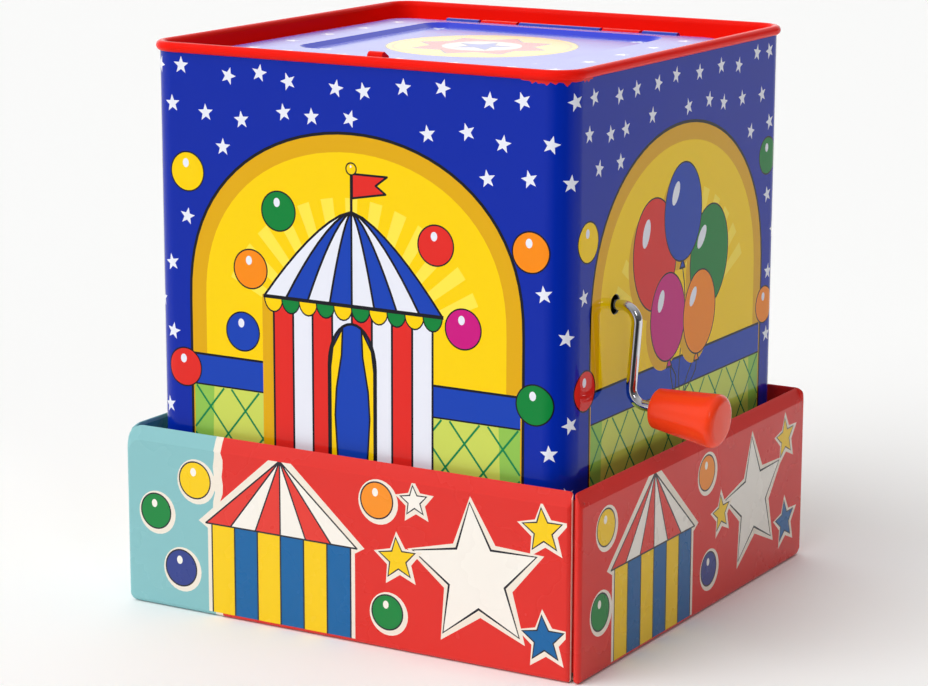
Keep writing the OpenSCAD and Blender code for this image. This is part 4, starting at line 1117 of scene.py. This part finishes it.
def curl(middle, out, dice):
    # One open loop of yarn that stands on the tuft
    across = (out.orthogonal().normalized() + wool["tilt"] * anyWay(dice)).cross(out).normalized()
    size = wool["loop"] * dice.uniform(*wool["loopSpread"])
    begin = dice.uniform(0, 2 * math.pi)
    path = []
    for i in range(wool["steps"]):
        b = begin + wool["sweep"] * i / (wool["steps"] - 1)
        side = out.cross(across) * wool["climb"] * (i - wool["steps"] // 2)
        path.append(middle + (out * math.cos(b) + across * math.sin(b)) * size + side)
    return path


def buildHair():
    dice = random.Random(23)
    verts, faces = [], []
    for side in (-1, 1):
        for x, y, z in wool["tufts"]:
            centre = Vector((side * x, midY + y, headMid + z))
            for k in range(wool["curls"]):
                out = spreadWay(k, wool["curls"])
                if out.x * side >= wool["inward"]:
                    path = curl(centre + out * wool["reach"], out, dice)
                    addTube(verts, faces, path, [wool["yarn"]] * wool["steps"], wool["sides"])
            addBlob(verts, faces, centre, wool["core"], tip=0.3, steps=10, sides=14)
    return makeObject("wool_hair", verts, faces, [paint["hair"]])


woolHair = buildHair()
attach(woolHair, "puppet")
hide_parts("hair_tufts")

hatLow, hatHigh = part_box("puppet_hat")
hat = {
    "rim": (hatHigh.x - hatLow.x) / 2 / mm, "tip": 2.5, "lean": 24.0, "bend": 0.8, "gores": 8,
    "columns": 96, "levels": 40, "brim": 4.2, "roll": 0.9, "tuck": 0.55, "felt": 1.4,
    "crease": 0.55, "creaseSpan": 1.15, "waves": 26, "waveLean": 1.3, "waveTurn": 0.6,
    "seam": 0.22, "seamSharp": 14, "slim": 8,
    "end": ((0.8, 0.15), (0.45, 0.25), (0.01, 0.3)),
}


def hatRing(t, grow):
    z0, z1 = hatLow.z / mm, hatHigh.z / mm
    ring = []
    for a in turned(hat["columns"]):
        r = hat["rim"] + (hat["tip"] - hat["rim"]) * t ** hat["bend"] + grow
        crease = hat["crease"] * math.sin(math.pi * min(t * hat["creaseSpan"], 1))
        fold = 1 + math.sin(hat["waves"] * t + hat["waveLean"] * math.sin(a + hat["waveTurn"]))
        r -= crease * fold * max(-math.sin(a), 0) * min(1, r / hat["slim"])
        groove = abs(math.cos(hat["gores"] * a / 2)) ** hat["seamSharp"]
        r -= hat["seam"] * groove * min(1, r / hat["slim"])
        ring.append((r * math.cos(a), midY + r * math.sin(a) - hat["lean"] * t * t, z0 + (z1 - z0) * t))
    return ring


def buildHat():
    edge = hat["brim"] / ((hatHigh.z - hatLow.z) / mm)
    levels = hat["levels"]
    brim = [(edge, -hat["felt"] - 0.2), (0.002, -hat["felt"])]
    roll = hat["roll"] - hat["tuck"]
    brim += [(edge / 2 * (1 - math.cos(a)), -0.35 + roll * math.sin(a) ** 0.7) for a in arc(8, math.pi)]
    brim.append((edge + 0.001, -hat["tuck"]))
    cone = [(edge + (1 - edge) * i / levels, -0.5 + 0.5 * min(1, i / 8)) for i in range(1, levels + 1)]
    rings = [hatRing(t, grow) for t, grow in brim + cone]
    top = Vector((0, midY - hat["lean"], hatHigh.z / mm))
    last = rings[-1]
    for shrink, rise in hat["end"]:
        rings.append([tuple(top + (Vector(p) - top) * shrink + Vector((0, 0, rise - 0.3))) for p in last])
    wide = hat["columns"] // hat["gores"]
    indices = []
    for i in range(len(rings) - 1):
        indices += [2 if i < len(brim) else k // wide % 2 for k in range(hat["columns"])]
    return lofted("felt_hat", rings, [paint["blueFelt"], paint["yellowFelt"], paint["redFelt"]], indices)


feltHat = buildHat()
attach(feltHat, "puppet")
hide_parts("puppet_hat")

pompom = {
    "strands": 320, "drift": 0.16, "reach": (0.86, 0.99), "sides": 5,
    "steps": (0.2, 0.5, 0.78, 1.0), "radii": (0.22, 0.34, 0.42, 0.2),
}


def buildPompom():
    low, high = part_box("hat_pompom")
    centre = (low + high) / 2 / mm
    size = (high.x - low.x) / 2 / mm
    dice = random.Random(31)
    verts, faces = [], []
    for k in range(pompom["strands"]):
        out = spreadWay(k, pompom["strands"])
        drift = anyWay(dice) * pompom["drift"]
        reach = size * dice.uniform(*pompom["reach"])
        path = [centre + (out + drift * t * t).normalized() * reach * t for t in pompom["steps"]]
        addTube(verts, faces, path, pompom["radii"], pompom["sides"])
    return makeObject("wool_pompom", verts, faces, [paint["pompom"]])


woolPompom = buildPompom()
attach(woolPompom, "puppet")
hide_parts("hat_pompom")

arm = {
    "shoulder": (32.5, 0.0, 53.2), "wrist": (40.0, -3.0, 33.2), "upper": 6.5, "lower": 4.5,
    "cuff": 0.9, "cuffFrom": 0.86, "cuffHalf": 0.07, "cuffLift": 0.15, "cuffPower": 0.6,
    "inside": ((0.2, 0.5), (2.5, 0.9)), "clear": 29.5, "columns": 48, "crease": 0.45,
}


def sleeveProfile(long):
    # Pairs of the way along the arm and its radius: shoulder, arm, cuff and the cuff's inside
    upper, lower, sleeveEnd = arm["upper"], arm["lower"], long * arm["cuffFrom"]
    cuff = long * arm["cuffHalf"]
    profile = [(-upper * math.cos(a), 0.02 + upper * math.sin(a)) for a in arc(10)[:-1]]
    profile += [(s, upper + (lower - upper) * s / long) for s in arc(30, sleeveEnd)]
    for a in arc(8, math.pi):
        swell = arm["cuff"] * math.sin(a) ** arm["cuffPower"]
        profile.append((sleeveEnd + cuff * (1 - math.cos(a)), lower + arm["cuffLift"] + swell))
    return profile + [(long - back, lower - less) for back, less in arm["inside"]]


def buildSleeve(side, name, material):
    shoulder, wrist = arm["shoulder"], arm["wrist"]
    top = Vector((side * shoulder[0], midY + shoulder[1], shoulder[2]))
    end = Vector((side * wrist[0], midY + wrist[1], wrist[2]))
    long = (end - top).length
    ahead = (end - top).normalized()
    sideways = Vector((0, 1, 0)).cross(ahead).normalized()
    other = ahead.cross(sideways)
    rings = []
    for s, r in sleeveProfile(long):
        fade = 0.0
        if 0 < s < long * arm["cuffFrom"]:
            fade = arm["crease"] * math.sin(math.pi * s / (long * arm["cuffFrom"]))
        ring = []
        for a in turned(arm["columns"]):
            wave = math.sin(1.35 * s + 1.6 * math.sin(a + 0.4 * side)) + 0.4 * math.sin(3.1 * s - 2 * a)
            p = top + ahead * s + (sideways * math.cos(a) + other * math.sin(a)) * (r + fade * wave)
            flat = Vector((p.x, p.y - midY))
            if flat.length < arm["clear"]:
                flat *= arm["clear"] / flat.length
            ring.append((flat.x, flat.y + midY, p.z))
        rings.append(ring)
    return lofted(name, rings, [material])


hand = {
    "palm": 5.5, "palmLess": 0.15, "fingers": (0.5, -3.0, -4.0), "fingersLess": 1.1,
    "thumb": (-1.6, -4.6, -0.6), "thumbSize": 2.5, "grid": 0.45, "smooth": 6,
}


def buildGlove(side, name, node):
    # Palm, fingers and thumb pressed into one soft form
    low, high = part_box(node)
    size = hand["palm"]
    palm = Vector(((low.x + high.x) / 2 / mm, high.y / mm - size, high.z / mm - size))
    verts, faces = [], []
    parts = (((0, 0, 0), size - hand["palmLess"]), (hand["fingers"], size - hand["fingersLess"]),
             (hand["thumb"], hand["thumbSize"]))
    for (x, y, z), radius in parts:
        addBlob(verts, faces, palm + Vector((side * x, y, z)), radius, tip=0.05, steps=14, sides=20)
    rough = makeObject(name + "_form", verts, faces, [paint["glove"]])
    press = rough.modifiers.new("press", "REMESH")
    press.mode = "VOXEL"
    press.voxel_size = hand["grid"] * mm
    ease = rough.modifiers.new("ease", "SMOOTH")
    ease.factor = 0.5
    ease.iterations = hand["smooth"]
    bpy.context.view_layer.update()
    mesh = bpy.data.meshes.new_from_object(rough.evaluated_get(bpy.context.evaluated_depsgraph_get()))
    bpy.data.objects.remove(rough)
    mesh.name = name
    mesh.polygons.foreach_set("use_smooth", [True] * len(mesh.polygons))
    return linked(name, mesh)


arms = ((-1, "left", "yellowCotton", "body_cloth"), (1, "right", "blueCotton", "sleeve_blue"))
for side, label, cotton, look in arms:
    sleeve = buildSleeve(side, label + "_sleeve", paint[cotton])
    glove = buildGlove(side, label + "_glove", label + "_hand")
    for soft, node, kind in ((sleeve, label + "_arm", look), (glove, label + "_hand", "glove_white")):
        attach(soft, "puppet")
        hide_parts(node)
print("stage: puppet")


# Display carton: four folded panels, a floor and a glued flap

tray = {
    "halfX": 77.8, "halfY": 75.4, "height": 55.0, "thick": 2.4, "fillet": 1.15,
    "floor": 1.5, "floorInset": 2.5, "floorEdge": 0.4, "frontEnds": (-77.8, 74.7), "backShort": 2.2,
    "sideEnds": (-75.0, 75.0), "crisp": 0.9, "square": 1.3, "soft": 2.4, "frontRound": 5.4,
    "leftRound": 4.6, "cyanWide": 33.5, "tear": 2.6, "tearFrom": -1.0, "tearLong": 57.5, "tearSteps": 22,
    "tearRough": (0.45, 0.75), "fold": 4.2, "foldEdge": 0.4, "foldShare": 0.8, "lean": 2.0,
    "leanEdge": 1.3, "edgeRings": 6, "innerTop": 20,
    "flap": 8.0, "flapShort": 5.0, "flapGap": 0.3, "flapThick": 0.6, "flapSink": 0.1,
}


def panelLoops():
    # The inset at the sides, drop at the top and depth of each ring, from the printed face to the inner one
    e, fold = tray["fillet"], tray["fold"]
    loops = []
    for a in arc(4):
        depth = e * (1 - math.cos(a))
        drop = fold - (fold - tray["foldEdge"]) * depth / (tray["foldShare"] * e)
        loops.append((e * (1 - math.sin(a)), max(drop, 0.0), depth))
    for a in arc(4)[1:]:
        inset = e * (1 - math.cos(a))
        loops.append((inset, inset, tray["thick"] - e + e * math.sin(a)))
    return loops


def leantDepth(depth):
    # A ring's depth along the panel's top, where the creased strip leans inwards
    e, lean, thick = tray["fillet"], tray["lean"], tray["thick"]
    return depth * lean / e if depth < e else lean + (depth - e) * (thick - lean) / (thick - e)


def panelOutline(span, corners, inset, drop, breaks):
    # The panel's outline, with a point wherever its edge changes ink
    (x0, x1), height = span, tray["height"]
    radii = [max(r - inset, 0.3) for r in corners]
    centre = ((x0 + x1) / 2, (height + inset - drop) / 2)
    points = roundedRect(x1 - x0 - 2 * inset, height - inset - drop, radii, centre, 6)
    merged = []
    for p, q in zip(points, points[1:] + points[:1]):
        merged.append(p)
        low, high = min(p[0], q[0]) + 0.4, max(p[0], q[0]) - 0.4
        cuts = [b for b in breaks if abs(p[1] - q[1]) < 1e-6 and low < b < high]
        merged += [(b, p[1]) for b in sorted(cuts, key=lambda b: abs(b - p[0]))]
    return merged


def addPanel(verts, faces, inks, span, corners, place, art, edgeInk, innerInk, breaks=()):
    # A printed outer face, rounded edges and a plain inner face; corners go round from the lower right
    height, loops = tray["height"], panelLoops()
    rings = [panelOutline(span, corners, inset, drop, breaks) for inset, drop, depth in loops]
    start, count = len(verts), len(rings[0])
    for ring, (inset, drop, depth) in zip(rings, loops):
        for x, y in ring:
            near = min(max((y - height + drop) / tray["leanEdge"] + 1, 0.0), 1.0)
            verts.append(place(x, y, depth + near * (leantDepth(depth) - depth)))
    for f, (a, b, c, d) in enumerate(loftFaces(len(loops), count)):
        faces.append((start + a, start + d, start + c, start + b))
        i, k = divmod(f, count)
        (ax, ay), (bx, by) = rings[i][k], rings[i][(k + 1) % count]
        cx, cy = (ax + bx) / 2, (ay + by) / 2
        inks.append(edgeInk(cx) if i < tray["edgeRings"] or cy > tray["innerTop"] else innerInk(cx))
    points, tris, names = printedFaces(art, rings[0])
    offset = len(verts)
    verts.extend(place(p[0], p[1], 0.0) for p in points)
    faces.extend(tuple(offset + i for i in tri) for tri in tris)
    inks.extend(names)
    lines = [((b, 0), (b, height)) for b in breaks]
    points, tris, names = printedFaces([("base", rings[-1])], rings[-1], (), lines)
    offset = len(verts)
    verts.extend(place(p[0], p[1], tray["thick"]) for p in points)
    for tri in tris:
        faces.append(tuple(offset + i for i in tri[::-1]))
        inks.append(innerInk(sum(points[i][0] for i in tri) / 3))


def addLayers(verts, faces, inks, rings, ink):
    # A closed block between rings of one length
    faces += cappedFaces(len(verts), len(rings), len(rings[0]))
    for ring in rings:
        verts += ring
    inks += [ink] * (len(faces) - len(inks))


def tornEdge(x, dice):
    # The ragged cream strip between two inks of the front
    left, right = [], []
    half, (fine, coarse) = tray["tear"] / 2, tray["tearRough"]
    for rise in arc(tray["tearSteps"], tray["tearLong"]):
        y = tray["tearFrom"] + rise
        left.append((x - half + dice.uniform(-fine, fine), y))
        right.append((x + half + dice.uniform(-coarse, coarse), y))
    return right + left[::-1]


def cartonBall(ink, x, y, r):
    return [("cream", oval(x + 0.5, y - 0.4, r + 1.5, r + 1.5))] + ball(ink, x, y, r)


def cartonStar(ink, x, y, r):
    return [("cream", star(x + 0.4, y - 0.3, r + 2.6, 0.1, waist=0.5)),
            ("key", star(x, y, r + 0.8, 0.1, waist=0.46)), (ink, star(x, y, r, 0.1, waist=0.44))]


def cartonTent(inks, cx, base, size):
    # A small striped tent cut out with a cream edge; inks holds two of the wall and two of the roof
    half, low, eave, peak = 0.5 * size, base - 3, base + 0.52 * size, base + 0.98 * size
    grow, stripes = 1.5, 6
    outline = ((half + grow, low), (half + grow, eave - grow), (half + 3.2 * grow, eave + 0.4),
               (2.0, peak + grow))
    left, right = [(cx - x, y) for x, y in outline], [(cx + x, y) for x, y in outline]
    shapes = [("cream", left[:1] + right + left[:0:-1])]
    for i, (x0, x1) in enumerate(slices(cx, half, stripes)):
        shapes += outlined(inks[i % 2], block(x0, low, x1, eave), 0.5)
    for i, (x0, x1) in enumerate(slices(cx, half + 2.2, stripes)):
        shapes += outlined(inks[2 + i % 2], [(x0, eave), (x1, eave), (cx, peak)], 0.5)
    return shapes


tentInks = ("yellow", "sky", "red", "white")
frontMotifs = (
    (cartonBall, "yellow", -52.5, 41.0, 5.4), (cartonBall, "green", -67.0, 29.5, 5.2),
    (cartonBall, "blue", -58.0, 13.0, 5.4), (cartonTent, tentInks, -22.0, 3.0, 49.0),
    (cartonBall, "orange", 11.5, 44.0, 5.2), (cartonBall, "green", 15.0, 11.0, 5.0),
    (cartonStar, "white", 44.5, 26.5, 21.0), (cartonStar, "yellow", 18.5, 27.5, 6.0),
    (cartonStar, "yellow", 66.0, 43.0, 6.2), (cartonStar, "sky", 66.5, 11.5, 6.6),
    (cartonStar, "white", 24.0, 45.5, 4.2),
)
sideMotifs = (
    (cartonBall, "yellow", -60.0, 42.0, 5.2), (cartonBall, "green", -63.0, 18.0, 5.2),
    (cartonTent, tentInks, -30.0, 3.0, 49.0), (cartonBall, "orange", 4.5, 43.0, 5.2),
    (cartonBall, "blue", 7.0, 12.5, 5.0), (cartonStar, "white", 38.0, 27.0, 20.0),
    (cartonStar, "yellow", 61.0, 41.5, 6.2), (cartonStar, "sky", 62.0, 14.0, 6.6),
    (cartonStar, "yellow", 15.0, 28.0, 5.4),
)


def placed(motifs):
    return [shape for motif, *values in motifs for shape in motif(*values)]


def buildCarton():
    lists = verts, faces, inks = [], [], []
    hx, hy, high, thick = tray["halfX"], tray["halfY"], tray["height"], tray["thick"]
    ends, sides = tray["frontEnds"], tray["sideEnds"]
    crisp, square, soft = tray["crisp"], tray["square"], tray["soft"]
    split = ends[0] + tray["cyanWide"]
    breaks = (split - tray["tear"] / 2, split + tray["tear"] / 2)

    def frontEdge(x):
        return "cyan" if x < breaks[0] else "cream" if x < breaks[1] or x > ends[1] - 0.3 else "base"

    # Inside the cyan part the inner face and inner edges get the darker copy of cyan: painted shade
    def frontInner(x):
        return "teal" if x < split else "base"

    def plain(ink):
        return lambda x: ink

    tear = tornEdge(split, random.Random(5))
    front = [("cyan", block(ends[0] - 5, -5, split, high + 5)), ("cream", tear)] + placed(frontMotifs)
    side = placed(sideMotifs)
    left = [("cyan", block(-100, -10, 100, 100))] + side
    addPanel(*lists, ends, (crisp, square, tray["frontRound"], soft), lambda x, y, d: (x, -hy + d, y),
             front, frontEdge, frontInner, breaks)
    addPanel(*lists, (ends[0], hx - tray["backShort"]), (soft, square, soft, soft),
             lambda x, y, d: (-x, hy - d, y), side, plain("base"), plain("base"))
    addPanel(*lists, sides, (soft, soft, square, crisp), lambda x, y, d: (hx - d, x, y),
             side, plain("base"), plain("base"))
    # The left panel's inner face gets the darker copy of cyan: painted shade
    addPanel(*lists, sides, (soft, tray["leftRound"], soft, soft), lambda x, y, d: (-hx + d, -x, y),
             left, plain("cyan"), plain("teal"))
    ring = roundedRect(2 * (hx - tray["floorInset"]), 2 * (hy - tray["floorInset"]), 1.0, (0, 0), 3)
    levels = ((1 - tray["floorEdge"] / 70, 0.0), (1.0, tray["floorEdge"]), (1.0, tray["floor"]))
    addLayers(*lists, [[(x * scale, y * scale, z) for x, y in ring] for scale, z in levels], "board")
    centre = (hx - tray["flapGap"] - tray["flap"] / 2, high / 2)
    ring = roundedRect(tray["flap"], high - tray["flapShort"], 1.0, centre, 3)
    depths = (thick + tray["flapThick"], thick - tray["flapSink"])
    addLayers(*lists, [[(x, -hy + depth, z) for x, z in ring] for depth in depths], "base")
    points = [(x * mm, y * mm, z * mm) for x, y, z in verts]
    return makeObject("display_carton", points, faces, *inkSlots(inks, carton))


displayCarton = buildCarton()
folds = displayCarton.modifiers.new("folds", "WEIGHTED_NORMAL")
folds.keep_sharp = True
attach(displayCarton, "carton")
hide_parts("display_tray")
print("stage: carton", len(displayCarton.data.polygons))


# Stage, light and camera

studio = {
    "focal": 2902.22, "pictureWide": 928, "sensor": 36, "yaw": 0.5317, "pitch": 0.2173, "roll": 0.0028,
    "at": (440.16, -754.96, 267.61), "sunPower": 1.72, "sunAngle": 55.0, "sunFrom": (-0.45, -0.9, 1.0),
    "stripAt": (0.78, -0.7, 0.62), "stripAim": (0.05, -0.04, 0.08), "stripSize": (0.1, 0.34),
    "stripPower": 0.8, "ceiling": 0.72, "ceilingFrom": 0.3,
    "around": ((0.0, 1.8), (1.0, 1.8), (0.12, 1.5), (0.25, 1.3), (0.38, 0.5), (0.5, 0.15), (0.62, 0.12),
               (0.75, 0.15), (0.84, 0.3), (0.92, 1.2)),
    "cardNear": 0.2, "cardFar": 0.62, "cardRise": 0.33, "cardTurn": 0.85, "cardAside": 0.22, "cardFade": 4,
    "cardSteps": 12, "floorHalf": 6, "floorDrop": 0.0002,
}


def addCamera():
    data = bpy.data.cameras.new("camera")
    camera = linked("camera", data)
    yaw, pitch, roll = studio["yaw"], studio["pitch"], studio["roll"]
    forward = Vector((-math.sin(yaw) * math.cos(pitch), math.cos(yaw) * math.cos(pitch), -math.sin(pitch)))
    right = Vector((math.cos(yaw), math.sin(yaw), 0))
    up = right.cross(forward)
    right, up = right * math.cos(roll) + up * math.sin(roll), up * math.cos(roll) - right * math.sin(roll)
    turn = Matrix((right, up, -forward)).transposed().to_4x4()
    camera.matrix_world = Matrix.Translation(Vector(studio["at"]) * mm) @ turn
    data.sensor_width = studio["sensor"]
    data.lens = studio["focal"] * studio["sensor"] / studio["pictureWide"]
    data.clip_start = 0.01
    data.clip_end = 100
    bpy.context.scene.camera = camera


def addLamp(name, kind, power, at, aim):
    data = bpy.data.lights.new(name, kind)
    data.energy = power
    lamp = linked(name, data)
    lamp.location = Vector(at)
    lamp.rotation_euler = (Vector(aim) - Vector(at)).to_track_quat("-Z", "Y").to_euler()
    return lamp


def addLamps():
    sun = addLamp("key", "SUN", studio["sunPower"], studio["sunFrom"], (0, 0, 0))
    sun.data.angle = math.radians(studio["sunAngle"])
    sun.visible_glossy = False
    strip = addLamp("strip", "AREA", studio["stripPower"], studio["stripAt"], studio["stripAim"])
    strip.data.shape = "RECTANGLE"
    strip.data.size, strip.data.size_y = studio["stripSize"]


def addWorld():
    # A studio round the object: each direction has its own tone, and the ceiling one of its own
    world = bpy.data.worlds.new("studio")
    bpy.context.scene.world = world
    world.use_nodes = True
    tree = world.node_tree
    tree.nodes.clear()
    out, back = addNode(tree, "OutputWorld"), addNode(tree, "Background")
    mix = addNode(tree, "Mix", B=studio["ceiling"])
    coord, split = addNode(tree, "TexCoord"), addNode(tree, "SeparateXYZ")
    turn = addNode(tree, "Math", "ARCTAN2")
    yaw = studio["yaw"]
    toRight, toCamera = (math.cos(yaw), math.sin(yaw), 0.0), (math.sin(yaw), -math.cos(yaw), 0.0)
    for entry, way in enumerate((toRight, toCamera)):
        dot = addNode(tree, "VectorMath", "DOT_PRODUCT")
        dot.inputs[1].default_value = way
        join(tree, (coord, "Generated", dot, 0), (dot, "Value", turn, entry))
    around, tone = addNode(tree, "MapRange", From_Min=-math.pi, From_Max=math.pi), addNode(tree, "ValToRGB")
    height = addNode(tree, "MapRange", From_Min=studio["ceilingFrom"], From_Max=1.0)
    steps = tone.color_ramp
    steps.interpolation = "EASE"
    for i, (where, level) in enumerate(studio["around"]):
        step = steps.elements[i] if i < 2 else steps.elements.new(where)
        step.position = where
        step.color = (level, level, level, 1)
    join(tree, (coord, "Generated", split, "Vector"), (split, "Z", height, "Value"),
         (turn, "Value", around, "Value"), (around, "Result", tone, "Fac"),
         (height, "Result", mix, "Factor"), (tone, "Color", mix, "A"), (mix, "Result", back, "Strength"),
         (back, "Background", out, "Surface"))


def addCard():
    # A low dark card with faded sides before the object, that only its reflections show
    verts, faces, fade = [], [], []
    near, last = studio["cardNear"], studio["cardSteps"]
    for i in range(last + 1):
        a = studio["yaw"] - math.pi / 2 + studio["cardAside"] + studio["cardTurn"] * (2 * i / last - 1)
        for far in (near, studio["cardFar"]):
            verts.append((far * math.cos(a), far * math.sin(a), 0.001 + (far - near) * studio["cardRise"]))
            fade.append(min(1.0, min(i, last - i) / studio["cardFade"]))
        if i:
            faces.append((2 * i - 2, 2 * i - 1, 2 * i + 1, 2 * i))
    material = surface("dark_card", "1C1C1E", "board", 0.9, 0.2)
    card = makeObject("card", verts, faces, [material])
    card.data.attributes.new("fade", "FLOAT", "POINT").data.foreach_set("value", fade)
    tree = material.node_tree
    cover = addNode(tree, "Attribute")
    cover.attribute_name = "fade"
    join(tree, (cover, "Fac", tree.nodes["Principled BSDF"], "Alpha"))
    for ray in ("visible_camera", "visible_diffuse", "visible_shadow"):
        setattr(card, ray, False)


addCamera()
addWorld()
addLamps()
addCard()
half = studio["floorHalf"]
floorCorners = [(x, y, -studio["floorDrop"]) for x, y in block(-half, -half, half, half)]
paper = surface("floor_paper", "FCFCFB", "board", 0.75, 0.2)
floor = makeObject("floor", floorCorners, [(0, 1, 2, 3)], [paper])
bpy.context.scene.view_settings.view_transform = "Standard"
print("stage: studio")
